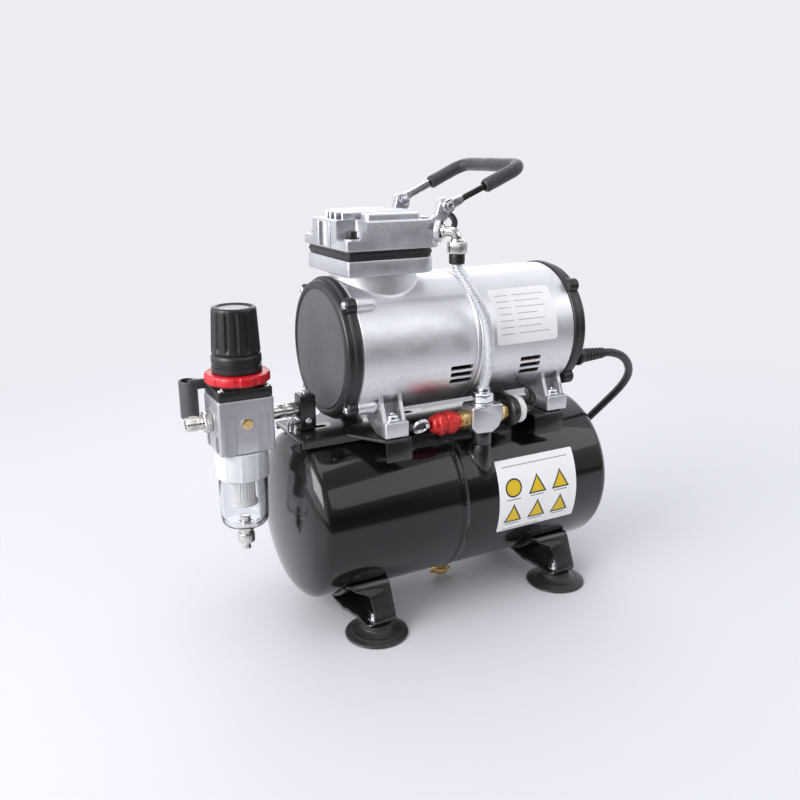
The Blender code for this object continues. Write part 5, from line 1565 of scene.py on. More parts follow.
# ======================================================================
# pump head
# ======================================================================
def pump_head():
    def square(half, r, far=None):
        """Square with tight corners on the left and broad ones on the right."""
        far = r if far is None else far
        pts = []
        for cx, cy, rr, a0 in ((half, half, far, 0), (-half, half, r, 90), (-half, -half, r, 180), (half, -half, far, 270)):
            ox, oy = cx - math.copysign(rr, cx), cy - math.copysign(rr, cy)
            n = 14 if rr > 6 else 7
            for k in range(n + 1):
                a = math.radians(a0 + 90 * k / n)
                pts.append((HX + ox + rr * math.cos(a), oy + rr * math.sin(a)))
        return pts

    # cylinder base: flange with the bore cut through
    bm = prism(square(33.9, 1.6, 13.0), 250.7, 261.2, "Z", 0.8, 3)
    cuts = [lathe([(0, 245), (26.5, 245), (26.5, 265), (0, 265)], "Z", (HX, 0, 0), 96)]
    bm = solve(bm, (), cuts)
    place("cylinder_base_cast", bm, M["cast"], replaces=("cylinder_base",), smooth=30)

    ring = square(33.1, 2.0, 12.6)
    bm = prism(ring, 261.5, 267.2, "Z", 0.5, 2)
    bm = solve(bm, [prism(square(33.7, 2.0, 12.9), 263.4, 265.3, "Z", 0.35, 2)],
               [lathe([(0, 255), (22, 255), (22, 270), (0, 270)], "Z", (HX, 0, 0), 72)])
    place("gasket_ring", bm, M["gasket"], replaces=("head_gasket",), smooth=30)

    # head: straight walls, a pocket at each corner, raised blocks and fins
    z0, z1 = 267.5, 286.5
    bm = prism(square(35.6, 1.8, 9.0), z0, z1, "Z", 1.2, 4, r0=0.6)
    cuts = []
    nx, ny, ledge = 21.2, 20.0, 274.0
    for sx in (-1, 1):
        for sy in (-1, 1):
            ax, ay = (nx, ny) if sx < 0 else (20.6, 20.6)
            xa, xb = sorted((HX + sx * ax, HX + sx * 45))
            ya, yb = sorted((sy * ay, sy * 45))
            zl = ledge if sx < 0 else 279.5
            cuts.append(prism(rect(xa, xb, ya, yb, 2.2, 5), zl, 300, "Z", 0.0, 2, r0=0.9))
    bm = solve(bm, (), cuts)
    adds = []
    # shelf blocks in the pockets that carry the screws
    for sx in (-1, 1):
        for sy in (-1, 1):
            px, py = HX + sx * (28.2 if sx < 0 else 26.6), sy * (27.6 if sx < 0 else 26.0)
            zl = ledge if sx < 0 else 279.5
            adds.append(lathe([(0, zl - 1), (5.4, zl - 1), (5.4, zl + 1.2), (0, zl + 1.2)], "Z", (px, py, 0), 40, 0.5, 3))
    # raised blocks along the front and rear, ribs between them
    adds.append(prism([(HX + a, b) for a, b in rect(-19.0, 21.0, -31.5, -19.5, 3.2, 6)], z1 - 1, 290.6, "Z", 1.1, 4, r0=0))
    adds.append(prism([(HX + a, b) for a, b in rect(-19.0, 21.0, 19.5, 31.5, 3.2, 6)], z1 - 1, 290.6, "Z", 1.1, 4, r0=0))
    for k, y in enumerate((-13.6, -6.8, 0.0, 6.8, 13.6)):
        half = (29.0, 31.0, 31.5, 31.0, 29.0)[k]
        adds.append(prism([(HX + a, b) for a, b in rect(-half, half - 3, y - 1.5, y + 1.5, 1.45, 6)], z1 - 1, 290.9, "Z", 0.9, 4, r0=0))
    # cross rib joining the fins, and a round casting gate
    adds.append(prism([(HX + a, b) for a, b in rect(-2.0, 1.6, -17.0, 17.0, 1.2, 4)], z1 - 1, 289.4, "Z", 0.8, 3, r0=0))
    adds.append(lathe([(0, z1 - 1), (5.6, z1 - 1), (5.6, 290.2), (0, 290.2)], "Z", (HX + 13, 0.0, 0), 48, 0.8, 3))
    # handle lugs
    for s in (-1, 1):
        y0, y1 = sorted((s * 27.5, s * 32.6))
        pts = [(-36, 278.5), (-22.5, 279.5), (-14.5, 285.2), (-9.9, 291), (-9.9, 297.3), (-12, 299.6), (-18, 299.6), (-20.1, 297.3),
               (-22.8, 288.2), (-27, 286.0), (-36, 285.6)]
        adds.append(prism(fillet(pts, 2.4, 5, True), y0, y1, "Y", 0.7, 3))
    # round outlet flange on the front right corner
    d = Vector((math.sqrt(0.5), -math.sqrt(0.5), 0))
    p = Vector((-20.2, -34.6, 278.0)) - d * 4.0
    flange = bmesh.new()
    u, w = d.cross(Vector((0, 0, 1))), Vector((0, 0, 1))
    rings = []
    for r, h in ((7.0, 0), (7.6, 0.5), (7.6, 3.5), (7.45, 3.9), (7.0, 4.1)):
        rings.append([flange.verts.new(p + d * h + u * r * math.cos(2 * math.pi * i / 48) + w * r * math.sin(2 * math.pi * i / 48))
                      for i in range(48)])
    for a, b in zip(rings, rings[1:]):
        bridge(flange, a, b, 48)
    flange.faces.new(rings[0])
    flange.faces.new(rings[-1])
    adds.append(flange)
    # side webs on the left face
    for y in (-9.0, 0.0, 9.0):
        adds.append(block(HX - 36.4, HX - 34.0, y - 1.3, y + 1.3, 268.4, 285.0, 0.7, 3))
    cuts = [lathe([(0, -40), (2.9, -40), (2.9, 40), (0, 40)], "Y", (PIVOT[0], 0, PIVOT[1]), 36)]
    for sx in (-1, 1):
        for sy in (-1, 1):
            px, py = HX + sx * (28.2 if sx < 0 else 26.6), sy * (27.6 if sx < 0 else 26.0)
            zl = ledge if sx < 0 else 279.5
            cuts.append(lathe([(0, zl - 6), (2.3, zl - 6), (2.3, zl + 5), (0, zl + 5)], "Z", (px, py, 0), 24))
    bm = solve(bm, adds, cuts)
    place("head_cast", bm, M["cast"], replaces=("cylinder_head",), smooth=30)

    bm = bmesh.new()
    for sx in (-1, 1):
        for sy in (-1, 1):
            px, py = HX + sx * (28.2 if sx < 0 else 26.6), sy * (27.6 if sx < 0 else 26.0)
            zl = (ledge if sx < 0 else 279.5) + 1.2
            screw((px, py, zl), (0, 0, 1), 3.5, 4.2, "hex", 48, bm, washer=4.6)
    place("head_screws", bm, M["iron"], smooth=30)
    # short dark strap from the near lug down to the outlet pipe
    bm = bmesh.new()
    path = smooth_path([(-13.6, -34.2, 288.6), (-12.2, -36.2, 286.6), (-11.6, -37.6, 283.6), (-12.8, -38.4, 280.6)], 6)
    sweep(path, fillet([(-2.0, -0.45), (2.0, -0.45), (2.0, 0.45), (-2.0, 0.45)], 0.3, 2, True), bm=bm)
    place("outlet_strap", bm, M["iron"], smooth=34)
    # small screws of the outlet flange
    bm = bmesh.new()
    for k in range(3):
        a = math.radians(90 + 120 * k)
        q = p + d * 4.1 + u * 5.6 * math.cos(a) + w * 5.6 * math.sin(a)
        screw(tuple(q), tuple(d), 1.35, 1.0, "cross", 24, bm)
    place("outlet_flange_screws", bm, M["iron"], smooth=30)


def outlet():
    d = Vector((math.sqrt(0.5), -math.sqrt(0.5), 0))
    p = Vector((-20.2, -34.6, 278.0))
    q = p + d * 10.5
    path = [p + d * t for t in (0.25, 2.0, 4.0)]
    for k in range(0, 13):
        a = math.radians(90 * k / 12)
        path.append(q + d * (5.2 * math.sin(a) - 4.9) + Vector((0, 0, -5.2 * (1 - math.cos(a)))))
    end = path[-1]
    path.append(end + Vector((0, 0, -2.0)))
    bm = sweep(path, circle(3.6, 32))
    # collar against the flange
    u, w = d.cross(Vector((0, 0, 1))), Vector((0, 0, 1))
    rings = []
    for r, h in ((4.5, 0.2), (4.9, 0.6), (4.9, 2.2), (4.5, 2.6)):
        rings.append([bm.verts.new(p + d * h + u * r * math.cos(2 * math.pi * i / 40) + w * r * math.sin(2 * math.pi * i / 40))
                      for i in range(40)])
    for a, b in zip(rings, rings[1:]):
        bridge(bm, a, b, 40)
    bm.faces.new(rings[0])
    bm.faces.new(rings[-1])
    ex, ey = p.x + d.x * 10.8, p.y + d.y * 10.8
    k = 10.5 + 5.0 * math.sin(math.radians(90)) - 4.5
    cx, cy = p.x + d.x * k, p.y + d.y * k
    prism(hexagon(7.0, cx, cy, 0.3), 263.5, 271.5, "Z", 0.7, 3, bm)
    lathe([(0, 271.2), (4.9, 271.2), (4.4, 273.2), (0, 273.2)], "Z", (cx, cy, 0), 40, 0.3, 2, bm=bm)
    place("outlet_pipe", bm, M["nickel"], replaces=("outlet_elbow",), smooth=32)
    bm = lathe([(4.1, 256.6), (5.2, 256.6), (5.4, 257.4), (5.4, 263.4), (4.1, 263.4)], "Z", (cx, cy, 0), 56, 0.35, 3)
    for z in (258.6, 260.0, 261.4):
        lathe([(5.2, z - 0.3), (5.62, z), (5.2, z + 0.3)], "Z", (cx, cy, 0), 56, bm=bm)
    place("outlet_ferrule", bm, M["iron"], smooth=35)
    return cx, cy


def hose(cx, cy):
    pts = [(cx, cy, 259.0), (cx + 0.05, cy - 0.05, 256.2), (cx + 0.9, cy - 1.0, 252.3),
           (-8.4, -46.8, 246.0), (-4.9, -50.4, 239.0), (-1.0, -53.4, 230.5), (3.6, -55.6, 219),
           (6.2, -56.2, 205), (7.6, -55.2, 191), (8.1, -52.2, 179), (8.0, -49.2, 171.5), (TEE_X, MAN_Y, 165.6), (TEE_X, MAN_Y, 161.0)]
    path = smooth_path(pts, 14)
    bm = sweep(path, circle(3.5, 36))
    place("hose_core", bm, M["core"], replaces=("air_hose",), smooth=60)
    # woven sleeve: flat bands running both ways over the core
    fr = frames_of(path)
    run = [0.0]
    for a, b in zip(path, path[1:]):
        run.append(run[-1] + (b - a).length)
    bm = bmesh.new()
    bands, lay = 10, 24.0
    for way in (-1, 1):
        for b0 in range(bands):
            rings = []
            for i, q in enumerate(path):
                a = way * 2 * math.pi * run[i] / lay + 2 * math.pi * b0 / bands
                u, w = fr[i]
                up = u * math.cos(a) + w * math.sin(a)
                t = (path[min(i + 1, len(path) - 1)] - path[max(i - 1, 0)]).normalized()
                side = t.cross(up)
                q = q + up * 3.47
                rings.append([bm.verts.new(q + side * e + up * c) for e, c in ((-0.3, -0.1), (0.3, -0.1), (0.24, 0.05), (0.0, 0.09), (-0.24, 0.05))])
            for a2, c2 in zip(rings, rings[1:]):
                bridge(bm, a2, c2, 5)
            bm.faces.new(rings[0])
            bm.faces.new(rings[-1])
    place("hose_braid", bm, M["braid"], smooth=60)


# ======================================================================
# handle
# ======================================================================
def handle():
    def side(s):
        return [(-17.6, s * 35.4, 293.4), (-9, s * 35.4, 297.1), (2, s * 35.9, 302.0), (12, s * 36.4, 306.4),
                (24, s * 37.0, 311.7), (33, s * 37.4, 315.7)]

    corner = []
    for k in range(1, 12):
        a = math.radians(90 * k / 12)
        corner.append((33 + 9.2 * math.sin(a), 28.2 + 9.2 * math.cos(a), 315.7 + 4.1 * math.sin(a)))
    loop = side(1) + corner + [(42.2, 28.2, 319.8), (42.4, 14, 319.9), (42.4, 0, 319.9), (42.4, -14, 319.9), (42.2, -28.2, 319.8)]
    loop += [(x, -y, z) for x, y, z in reversed(corner)] + list(reversed(side(-1)))
    path = smooth_path(loop, 4)
    # flat bars, standing on edge: bright on the far side, blackened on the near one
    n = len(path)
    half = n // 2
    for s, part, sect, mat in ((1, path[:half + 1], (1.3, 2.75), "bright_steel"), (-1, path[half:], (1.3, 2.0), "iron")):
        sect = fillet([(-sect[0], -sect[1]), (sect[0], -sect[1]), (sect[0], sect[1]), (-sect[0], sect[1])], 0.7, 3, True)
        bm = bmesh.new()
        rings = []
        for i, q in enumerate(part):
            t = (part[min(i + 1, len(part) - 1)] - part[max(i - 1, 0)]).normalized()
            up = Vector((-0.38, 0, 0.925))
            up = (up - t * up.dot(t)).normalized()
            w = t.cross(up)
            rings.append([bm.verts.new(q + w * a + up * b) for a, b in sect])
        for a, b in zip(rings, rings[1:]):
            bridge(bm, a, b, len(sect))
        bm.faces.new(rings[0])
        bm.faces.new(rings[-1])
        if s > 0:
            place("handle_strap_far", bm, M[mat], "handle", ("handle_bar",), smooth=34)
        else:
            place("handle_strap_near", bm, M[mat], "handle", smooth=34)
    # pressed eyes riding on the bar ends, each with a small stud
    bm = bmesh.new()
    for s in (-1, 1):
        lathe([(0, s * 33.7), (4.4, s * 33.7), (4.6, s * 34.1), (4.6, s * 36.5), (4.2, s * 36.9), (0, s * 36.9)], "Y",
              (PIVOT[0], 0, PIVOT[1]), 48, 0.25, 2, bm=bm)
        eye = smooth_path(side(s)[:3], 5)[:-3]
        rings = []
        sect = fillet([(-1.7, -3.3), (1.7, -3.3), (1.7, 3.3), (-1.7, 3.3)], 0.9, 3, True)
        for i, q in enumerate(eye):
            t = (eye[min(i + 1, len(eye) - 1)] - eye[max(i - 1, 0)]).normalized()
            up = Vector((-0.38, 0, 0.925))
            up = (up - t * up.dot(t)).normalized()
            w = t.cross(up)
            k = 1.0 if i < len(eye) - 2 else (0.92 if i < len(eye) - 1 else 0.8)
            rings.append([bm.verts.new(q + w * a * k + up * b * k) for a, b in sect])
        for a, b in zip(rings, rings[1:]):
            bridge(bm, a, b, len(sect))
        bm.faces.new(rings[0])
        bm.faces.new(rings[-1])
    place("handle_eyes", bm, M["bright_steel"], "handle", smooth=34)

    bm = bmesh.new()
    for s in (-1, 1):
        screw((PIVOT[0], s * 36.9, PIVOT[1]), (0, s, 0), 2.6, 1.5, "hex", 40, bm)
        lathe([(0, s * 27.0), (2.4, s * 27.0), (2.4, s * 33.8), (0, s * 33.8)], "Y", (PIVOT[0], 0, PIVOT[1]), 28, bm=bm)
        lathe([(0, s * 32.8), (4.4, s * 32.8), (4.4, s * 33.6), (0, s * 33.6)], "Y", (PIVOT[0], 0, PIVOT[1]), 36, 0.2, 2, bm=bm)
        prism([(a, b) for a, b in hexagon(3.9, PIVOT[0], PIVOT[1], 0.2)], min(s * 24.4, s * 27.2), max(s * 24.4, s * 27.2), "Y", 0.4, 2, bm)
    place("handle_pivots", bm, M["steel"], "handle", smooth=30)

    # foam sleeve: a lumpy tube with rolled ends
    part = smooth_path(loop[3:-3], 9)
    run = [0.0]
    for a, b in zip(part, part[1:]):
        run.append(run[-1] + (b - a).length)
    total = run[-1]
    fr = frames_of(part)
    bm = bmesh.new()
    seg = 44
    outer, inner = [], []
    for i, q in enumerate(part):
        u, w = fr[i]
        e = min(run[i], total - run[i])
        lip = 1.0 - 0.22 * max(0.0, 1.0 - e / 1.6) ** 2
        curv = 1.0
        if 1 < i < len(part) - 2:
            bend = (part[i + 1] - part[i]).normalized().angle((part[i] - part[i - 1]).normalized(), 0.0)
            curv = 1.0 - min(0.05, bend * 0.35)
        ro, ri = [], []
        for k in range(seg):
            a = 2 * math.pi * k / seg
            lump = 1.0 + 0.010 * math.sin(run[i] * 0.31 + 2 * a) + 0.008 * math.sin(run[i] * 0.83 + 3 * a + 1.1) \
                + 0.005 * math.sin(run[i] * 1.9 - 5 * a)
            r = 4.72 * lip * lump * curv
            ro.append(bm.verts.new(q + u * r * math.cos(a) + w * r * math.sin(a)))
            ri.append(bm.verts.new(q + u * 3.1 * math.cos(a) + w * 3.1 * math.sin(a)))
        outer.append(ro)
        inner.append(ri)
    for a, b in zip(outer, outer[1:]):
        bridge(bm, a, b, seg)
    for a, b in zip(inner, inner[1:]):
        bridge(bm, b, a, seg)
    for o, i in ((outer[0], inner[0]), (outer[-1], inner[-1])):
        bridge(bm, i, o, seg)
    grip = place("grip_foam", bm, M["foam"], "handle", ("handle_grip",), smooth=60)


# ======================================================================
# manifold in front of the motor
# ======================================================================
def manifold():
    c = (0, MAN_Y, MAN_Z)
    y0, y1 = MAN_Y - 8, MAN_Y + 8
    # cast tee: square shoulders, tapering towards the tank
    pts = [(TEE_X - 13, 157.0), (TEE_X - 13, 141.5), (TEE_X - 9.0, 137.2), (TEE_X + 4.0, 136.5), (TEE_X + 9.5, 140.0),
           (TEE_X + 13, 146.5), (TEE_X + 13, 157.0)]
    bm = prism(fillet(pts, 1.6, 4, True), y0, y1, "Y", 1.4, 4)
    adds = [lathe([(0, 155), (8.2, 155), (8.2, 158.2), (0, 158.2)], "Z", (TEE_X, MAN_Y, 0), 56, 0.6, 3)]
    bm = solve(bm, adds)
    stem = lathe([(0, 112), (5.1, 112), (5.1, 127.3), (7.2, 127.3), (7.2, 137.6), (0, 137.6)], "Z", (TEE_X, MAN_Y, 0), 56, 0.4, 2)
    place("tee_stem", stem, M["leg"], smooth=32)
    place("tee_cast", bm, M["tee"], replaces=("tee_block",), smooth=32)
    bm = prism(hexagon(7.6, TEE_X, MAN_Y, 0.25), 158.5, 165.0, "Z", 0.8, 3)
    lathe([(4.2, 164.6), (5.2, 164.6), (5.0, 168.6), (4.2, 168.6)], "Z", (TEE_X, MAN_Y, 0), 48, 0.25, 2, bm=bm)
    place("hose_nut", bm, M["chrome"], smooth=32)

    x1 = TEE_X - 13.3
    bm = prism(hexagon(7.0, MAN_Y, MAN_Z, 0.2), x1 - 5.6, x1, "X", 0.7, 3)
    thread(4.9, 5.5, 0.9, x1 - 8.2, x1 - 5.2, "X", c, 40, bm)
    place("safety_adapter_hex", bm, M["brass"], replaces=("safety_adapter",), smooth=30)

    x2 = x1 - 8.3

    def grip(a, h, r):
        if r > 7.6:
            return r - 0.55 * (0.5 + 0.5 * math.cos(6 * a)) - 0.12 * (0.5 + 0.5 * math.cos(36 * a))
        return r

    prof = [(2.4, x2 - 21.0), (4.6, x2 - 21.0), (5.6, x2 - 20.3), (6.2, x2 - 19.4), (6.3, x2 - 17.0), (7.0, x2 - 16.5), (8.2, x2 - 15.6),
            (8.35, x2 - 14.5), (8.35, x2 - 12.6), (7.9, x2 - 11.8), (6.9, x2 - 11.2), (6.9, x2 - 9.9), (7.8, x2 - 9.2),
            (8.35, x2 - 8.4), (8.35, x2 - 4.0), (8.0, x2 - 3.0), (7.0, x2 - 2.2), (6.6, x2 - 0.2), (2.4, x2 - 0.2)]
    bm = lathe(prof, "X", c, 144, 0.0, 2, grip)
    place("safety_valve_body", bm, M["red_metal"], replaces=("safety_valve",), smooth=34)

    # pull ring with its stem
    xc = x2 - 28.9
    ring = [(xc + 6.0 * math.cos(2 * math.pi * k / 72), MAN_Y - 3.4 * math.sin(2 * math.pi * k / 72),
             MAN_Z + 5.0 * math.sin(2 * math.pi * k / 72)) for k in range(72)]
    bm = sweep(ring, circle(0.85, 14), loop=True)
    # second turn of the split ring, slightly aside
    ring2 = [(xc + 5.95 * math.cos(a), MAN_Y - 3.4 * math.sin(a) + 0.55, MAN_Z + 5.0 * math.sin(a) + 0.7)
             for a in (math.radians(40 + 4 * k) for k in range(66))]
    sweep(ring2, circle(0.7, 12), bm=bm)
    lathe([(0, x2 - 25.6), (1.5, x2 - 25.6), (1.9, x2 - 25.0), (1.9, x2 - 23.2), (1.5, x2 - 22.8), (1.5, x2 - 17.6), (0, x2 - 17.6)],
          "X", c, 28, 0.15, 2, bm=bm)
    lathe([(0, -2.4), (0.8, -2.4), (0.8, 2.4), (0, 2.4)], "Y", (x2 - 24.2, MAN_Y, MAN_Z), 16, 0.1, 2, bm=bm)
    place("relief_ring", bm, M["chrome"], "relief_pull", ("pull_ring",), smooth=40)

    x3 = TEE_X + 13.3
    cs = (0, MAN_Y, MAN_Z + 1)
    bm = prism(hexagon(6.6, MAN_Y, MAN_Z + 1, 0.1), x3, x3 + 4.2, "X", 0.6, 3)
    thread(4.6, 5.2, 0.9, x3 + 3.8, x3 + 6.3, "X", cs, 40, bm)
    place("switch_nipple_hex", bm, M["brass"], replaces=("switch_nipple",), smooth=30)
    x4 = x3 + 6.7
    prof = [(0, x4), (8.6, x4), (9.6, x4 + 0.4), (11.0, x4 + 1.3), (11.2, x4 + 1.8), (11.2, x4 + 5.2), (10.9, x4 + 5.9), (10.3, x4 + 6.3),
            (10.2, x4 + 7.0), (0, x4 + 7.0)]
    bm = lathe(prof, "X", cs, 96, 0.2, 2)
    place("switch_base", bm, M["switch"], replaces=("pressure_switch",), smooth=34)
    x5 = x4 + 7.3

    def ribbed(a, h, r):
        return r - 0.3 * (0.5 + 0.5 * math.cos(40 * a)) if r > 9.2 and h < x5 + 4.6 else r

    prof = [(0, x5), (9.5, x5), (9.8, x5 + 0.5), (9.8, x5 + 4.4), (9.4, x5 + 5.2), (8.6, x5 + 5.6), (5.4, x5 + 5.7), (5.2, x5 + 6.1),
            (5.2, x5 + 8.5), (4.7, x5 + 9.0), (0, x5 + 9.0)]
    bm = lathe(prof, "X", cs, 160, 0, 2, ribbed)
    place("switch_cap_moulded", bm, M["cap"], replaces=("switch_cap",), smooth=34)
    # two blade terminals and short insulated leads up to the motor
    bm = bmesh.new()
    for s in (-1, 1):
        block(x5 + 8.8, x5 + 13.0, MAN_Y + s * 2.4 - 0.35, MAN_Y + s * 2.4 + 0.35, MAN_Z - 1.0, MAN_Z + 3.0, 0.2, 2, bm)
    place("switch_blades", bm, M["brass"], smooth=30)
    bm = bmesh.new()
    for s, dy in ((-1, 0.0), (1, 2.0)):
        y = MAN_Y + s * 2.4
        pts = [(x5 + 10.6, y, MAN_Z + 1), (x5 + 13.5, y, MAN_Z + 1.2), (x5 + 16.2, y - 0.6, MAN_Z + 4.0), (x5 + 16.4, y - 0.8, MAN_Z + 9.5),
               (x5 + 13.8 + s, y + 0.4, MAN_Z + 15.0), (x5 + 10.0 + s, y + 3.2, MAN_Z + 19.0), (x5 + 8.0 + s, y + 7.5, MAN_Z + 21.5)]
        sweep(smooth_path(pts, 7), circle(1.05, 16), bm=bm)
        lathe([(0, x5 + 9.6), (1.75, x5 + 9.6), (1.75, x5 + 14.0), (1.3, x5 + 14.6), (0, x5 + 14.6)], "X", (0, y, MAN_Z + 1), 24, 0.2, 2, bm=bm)
    place("switch_leads", bm, M["switch"], smooth=50)


# ======================================================================
# filter-regulator
# ======================================================================
def regulator():
    x, z = REG_X, PORT_Z
    bm = block(-114.0, -102.5, -6.0, 6.0, 142.6, 168.0, 1.2, 4)
    lathe([(0, -114.5), (4.6, -114.5), (4.6, -113.5), (0, -113.5)], "X", (0, 0, z), 40, 0.2, 2, bm=bm)
    place("inlet_block_machined", bm, M["sheet"], replaces=("inlet_block",), smooth=32)
    bm = bmesh.new()
    screw((-108.2, 0, 168.0), (0, 0, 1), 3.2, 1.8, "hex", 40, bm)
    screw((-108.2, -6.0, 149.5), (0, -1, 0), 2.6, 1.4, "cross", 36, bm)
    place("inlet_block_screws", bm, M["chrome"], smooth=30)

    # inlet nipple with hex and knurled ring, and the small bright elbow under the block
    bm = lathe([(0, -136), (4.6, -136), (4.9, -135.6), (4.9, -133.6), (5.3, -133.2), (5.3, -126.4), (4.8, -126.0), (4.8, -124.6),
                (5.4, -124.2), (5.4, -118.6), (4.9, -118.2), (4.9, -114.7), (0, -114.7)], "X", (0, 0, z), 64, 0.22, 2)
    lathe([(0, -114.7), (3.0, -114.7), (3.0, -109.2), (0, -109.2)], "X", (0, 0, z), 28, bm=bm)
    place("inlet_nipple_hex", bm, M["nickel"], replaces=("inlet_nipple",), smooth=30)
    bm = sweep(smooth_path([(-114.4, -2.0, 150.5), (-117.5, -2.0, 150.3), (-120.0, -2.0, 148.6), (-120.6, -2.0, 145.4), (-120.6, -2.0, 143.0)], 5),
               circle(2.4, 24))
    lathe([(0, -118.4), (3.4, -118.4), (3.4, -114.4), (0, -114.4)], "X", (0, -2.0, 150.5), 32, 0.3, 2, bm=bm)
    place("inlet_elbow_bright", bm, M["chrome"], smooth=34)

    # body: chamfered block with recessed side panels, ports and a bottom skirt
    bm = block(x - 19, x + 19, -16.5, 16.5, 136.7, 174.5, 1.6, 4)
    cuts = []
    for s in (-1, 1):
        for a, b in ((x - 15.2, x - 7.2), (x + 7.2, x + 15.2)):
            ya, yb = sorted((s * 15.1, s * 20))
            cuts.append(prism(rect(a, b, 133.0, 164.5, 1.8, 4), ya, yb, "Y"))
    for s in (-1, 1):
        xa, xb = sorted((x + s * 17.7, x + s * 22))
        for yy in (-12.5, 6.5):
            cuts.append(prism(rect(yy, yy + 6.0, 133.0, 149.5, 1.8, 4), xa, xb, "X"))
    cuts.append(lathe([(0, 120), (10.5, 120), (10.5, 150), (0, 150)], "Z", (x, 0, 0), 64))
    cuts.append(lathe([(0, x - 25), (3.5, x - 25), (3.5, x - 5), (0, x - 5)], "X", (0, 0, z), 32))
    adds = [lathe([(0, -17.1), (4.6, -17.1), (4.9, -16.9), (4.9, -15.0), (0, -15.0)], "Y", (x, 0, z), 56, 0.15, 2),
            lathe([(0, 15.0), (4.9, 15.0), (4.9, 16.9), (4.6, 17.1), (0, 17.1)], "Y", (x, 0, z), 56, 0.15, 2),
            lathe([(0, x - 19.6), (9.4, x - 19.6), (9.4, x - 17), (0, x - 17)], "X", (0, 0, z), 56, 0.4, 2)]
    bm = solve(bm, adds, cuts)
    place("regulator_cast", bm, M["reg_silver"], replaces=("regulator_body",), smooth=30)
    # gauge-port plugs with hex sockets, front and back
    bm = bmesh.new()
    for s in (-1, 1):
        screw((x, s * 16.9, z), (0, s, 0), 3.8, 0.7, "hex", 48, bm)
    place("port_plugs", bm, M["brass"], smooth=30)

    # bonnet: black square with a stepped top and four corner screws
    bm = prism([(x + a, b) for a, b in rect(-18.6, 18.6, -16.6, 16.6, 2.4, 5)], 174.9, 181.2, "Z", 0.9, 3, r0=0.4)
    lathe([(0, 180.4), (16.4, 180.4), (16.2, 183.2), (0, 183.2)], "Z", (x, 0, 0), 96, 0.5, 3, bm=bm)
    place("bonnet_moulded", bm, M["reg_black"], replaces=("bonnet",), smooth=32)
    bm = bmesh.new()
    for sx in (-1, 1):
        for sy in (-1, 1):
            screw((x + sx * 15.6, sy * 13.6, 181.2), (0, 0, 1), 2.3, 1.3, "cross", 36, bm)
    place("bonnet_screws", bm, M["chrome"], smooth=30)

    def notched(a, h, r):
        return r - 0.75 * max(0.0, min(1.0, (math.cos(10 * a) - 0.45) * 3.0)) if r > 20.0 else r

    bm = lathe([(0, 183.5), (20.2, 183.5), (21.2, 184.1), (21.7, 184.9), (21.7, 188.8), (21.2, 189.7), (20.2, 190.2), (17.4, 190.2), (0, 190.2)],
               "Z", (x, 0, 0), 192, 0.0, 3, notched)
    place("panel_nut_red", bm, M["ring_red"], replaces=("panel_ring",), smooth=32)
    prof = [(3.4, 190.5), (16.2, 190.5), (16.6, 190.9), (16.6, 194.6), (15.9, 195.0), (15.9, 196.4), (16.6, 196.8), (16.6, 200.6),
            (16.2, 201.8), (15.2, 202.8), (3.4, 202.8)]
    bm = lathe(prof, "Z", (x, 0, 0), 112, 0.0, 3)
    place("collar_ring", bm, M["reg_black"], replaces=("lock_collar",), smooth=32)

    # knob: broad flutes, an index lip and a shallow dish on top
    def flute(a, h, r):
        if r < 12.5:
            return r
        k = min(1.0, max(0.0, (h - 204.8) / 1.6)) * min(1.0, max(0.0, (231.6 - h) / 1.4))
        wavey = 0.5 + 0.5 * math.cos(14 * a)
        return r - 0.85 * k * wavey ** 5 - 0.10 * k * (0.5 + 0.5 * math.cos(112 * a))

    prof = [(3.3, 203.2), (15.4, 203.2), (16.0, 203.6), (16.1, 204.6)]
    for k in range(15):
        h = 205.0 + 26.0 * k / 14
        prof.append((16.05 - 1.35 * (h - 205.0) / 26.0, h))
    prof += [(14.55, 231.8), (14.2, 232.7), (13.6, 233.2), (12.9, 233.4), (12.2, 233.3), (11.7, 232.9), (11.3, 232.3), (10.8, 232.0),
             (3.0, 231.8), (0, 231.8)]
    prof = [(0, 226.0), (3.3, 226.0)] + prof
    bm = lathe(prof, "Z", (x, 0, 0), 336, 0.0, 3, flute)
    place("knob_fluted", bm, M["reg_black"], "knob", ("regulator_knob",), smooth=34)
    bm = lathe([(0, 231.9), (9.6, 231.9), (10.0, 232.15), (9.4, 232.4), (0, 232.45)], "Z", (x, 0, 0), 96, 0.0)
    place("knob_cap_disc", bm, M["mark_grey"], "knob", smooth=40)

    bm = prism(hexagon(7.3, 0, z, 0.0), x - 25.2, x - 19.7, "X", 0.8, 3)
    lathe([(3.1, x - 36.6), (4.3, x - 36.6), (4.7, x - 36.2), (4.7, x - 26.8), (4.3, x - 26.2), (4.3, x - 24.8), (3.1, x - 24.8)], "X", (0, 0, z), 56, bm=bm)
    thread(4.5, 5.25, 1.1, x - 35.6, x - 27.6, "X", (0, 0, z), 48, bm)
    place("outlet_nipple_threaded", bm, M["nickel"], replaces=("outlet_nipple",), smooth=30)

    # bowl: clear cup with a ribbed skirt
    def ribs(a, h, r):
        if r > 17.5 and h < 135.4:
            return r + 0.45 * max(0.0, math.cos(10 * a)) ** 6
        return r

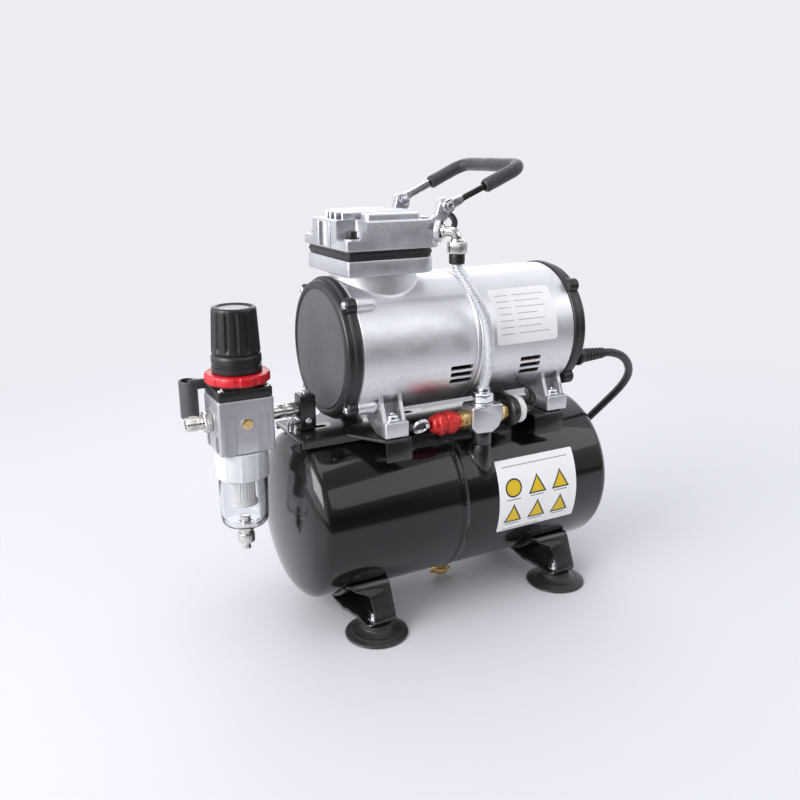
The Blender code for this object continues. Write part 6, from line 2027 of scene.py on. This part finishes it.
    prof = [(4.2, 80.4), (9.5, 80.4), (12.0, 80.8), (14.2, 81.9), (15.6, 83.6), (16.2, 86.0), (16.5, 92.0), (16.7, 104.0), (16.8, 115.6),
            (16.8, 116.4), (16.2, 116.6), (15.0, 116.6), (14.9, 116.0), (14.8, 100.0), (14.6, 90.0), (14.2, 86.4), (13.0, 84.0),
            (11.0, 82.8), (4.2, 82.4)]
    bm = lathe(prof, "Z", (x, 0, 0), 160, 0.0, 3)
    place("bowl_clear_cup", bm, M["bowl"], replaces=("filter_bowl",), smooth=40)
    prof = [(15.0, 116.8), (17.2, 116.8), (17.9, 117.1), (18.1, 117.8), (18.1, 135.0), (17.8, 135.9), (17.0, 136.3), (15.2, 136.3),
            (14.9, 135.8), (14.9, 117.2)]
    bm = lathe(prof, "Z", (x, 0, 0), 160, 0.0, 3, ribs)
    place("bowl_frosted_skirt", bm, M["frost"], smooth=40)

    def pleat(a, h, r):
        return r - 0.5 * (0.5 + 0.5 * math.cos(24 * a)) if 99 < h < 121.5 and r > 6 else r

    prof = [(0, 96.0), (9.2, 96.0), (9.6, 96.5), (9.6, 98.0), (9.0, 98.5), (8.2, 98.8)] + [(8.2, 99.4 + k * 2.2) for k in range(10)] + \
           [(8.2, 121.6), (9.6, 122.0), (10.6, 122.4), (10.6, 124.3), (10.0, 125.0), (4.6, 125.4), (4.6, 146.0), (0, 146.0)]
    bm = lathe(prof, "Z", (x, 0, 0), 144, 0.0, 3, pleat)
    place("filter_pleated", bm, M["filter"], replaces=("filter_element",), smooth=34)

    def knurl(a, h, r):
        return r - 0.25 * (0.5 + 0.5 * math.cos(30 * a)) if 67.3 < h < 73.2 and r > 5.5 else r

    prof = [(0, 61.0), (2.2, 61.0), (2.9, 61.6), (2.9, 63.0), (2.3, 63.5), (2.3, 64.2), (3.0, 64.8), (3.0, 66.0), (5.0, 66.4), (5.8, 67.2),
            (5.9, 67.8), (5.9, 72.9), (5.5, 73.6), (4.4, 74.1), (4.3, 76.0), (6.0, 76.3), (6.4, 76.8), (6.4, 79.6), (6.0, 80.1), (3.6, 80.1),
            (3.6, 86.2), (3.1, 86.5), (0, 86.5)]
    bm = lathe(prof, "Z", (x, 0, 0), 150, 0.0, 3, knurl)
    place("bowl_drain_turned", bm, M["nickel"], "bowl_valve", ("bowl_drain",), smooth=34)

    # airbrush holder: dipped wire loop and open cup
    cx, cy = -182.6, 24.6
    n = 64
    oval = [(cx + 6.2 * math.cos(2 * math.pi * k / n), cy + 7.8 * math.sin(2 * math.pi * k / n)) for k in range(n)]
    hole = [(cx + 4.8 * math.cos(2 * math.pi * k / n), cy + 6.4 * math.sin(2 * math.pi * k / n)) for k in range(n)]
    bm = prism(oval, 155.0, 181.0, "Z", 0.8, 4)
    strap = fillet([(-184.0, 17.0), (-142.0, 17.0), (-142.0, 19.6), (-176.0, 19.6), (-180.0, 25.0), (-184.0, 25.0)], 1.2, 4, True)
    bm = solve(bm, [prism(strap, 176.0, 182.8, "Z", 0.7, 3)], [prism(hole, 140.0, 190.0, "Z")])
    place("holder_dipped", bm, M["holder"], replaces=("airbrush_holder",), smooth=34)
    bm = bmesh.new()
    for a in (-146.0, -160.0):
        screw((a, 19.6, 179.4), (0, 1, 0), 2.0, 1.3, "cross", 32, bm)
    place("holder_screws", bm, M["chrome"], smooth=30)


pump_head()
hose(*outlet())
handle()
manifold()
regulator()


# ======================================================================
bpy.context.view_layer.update()
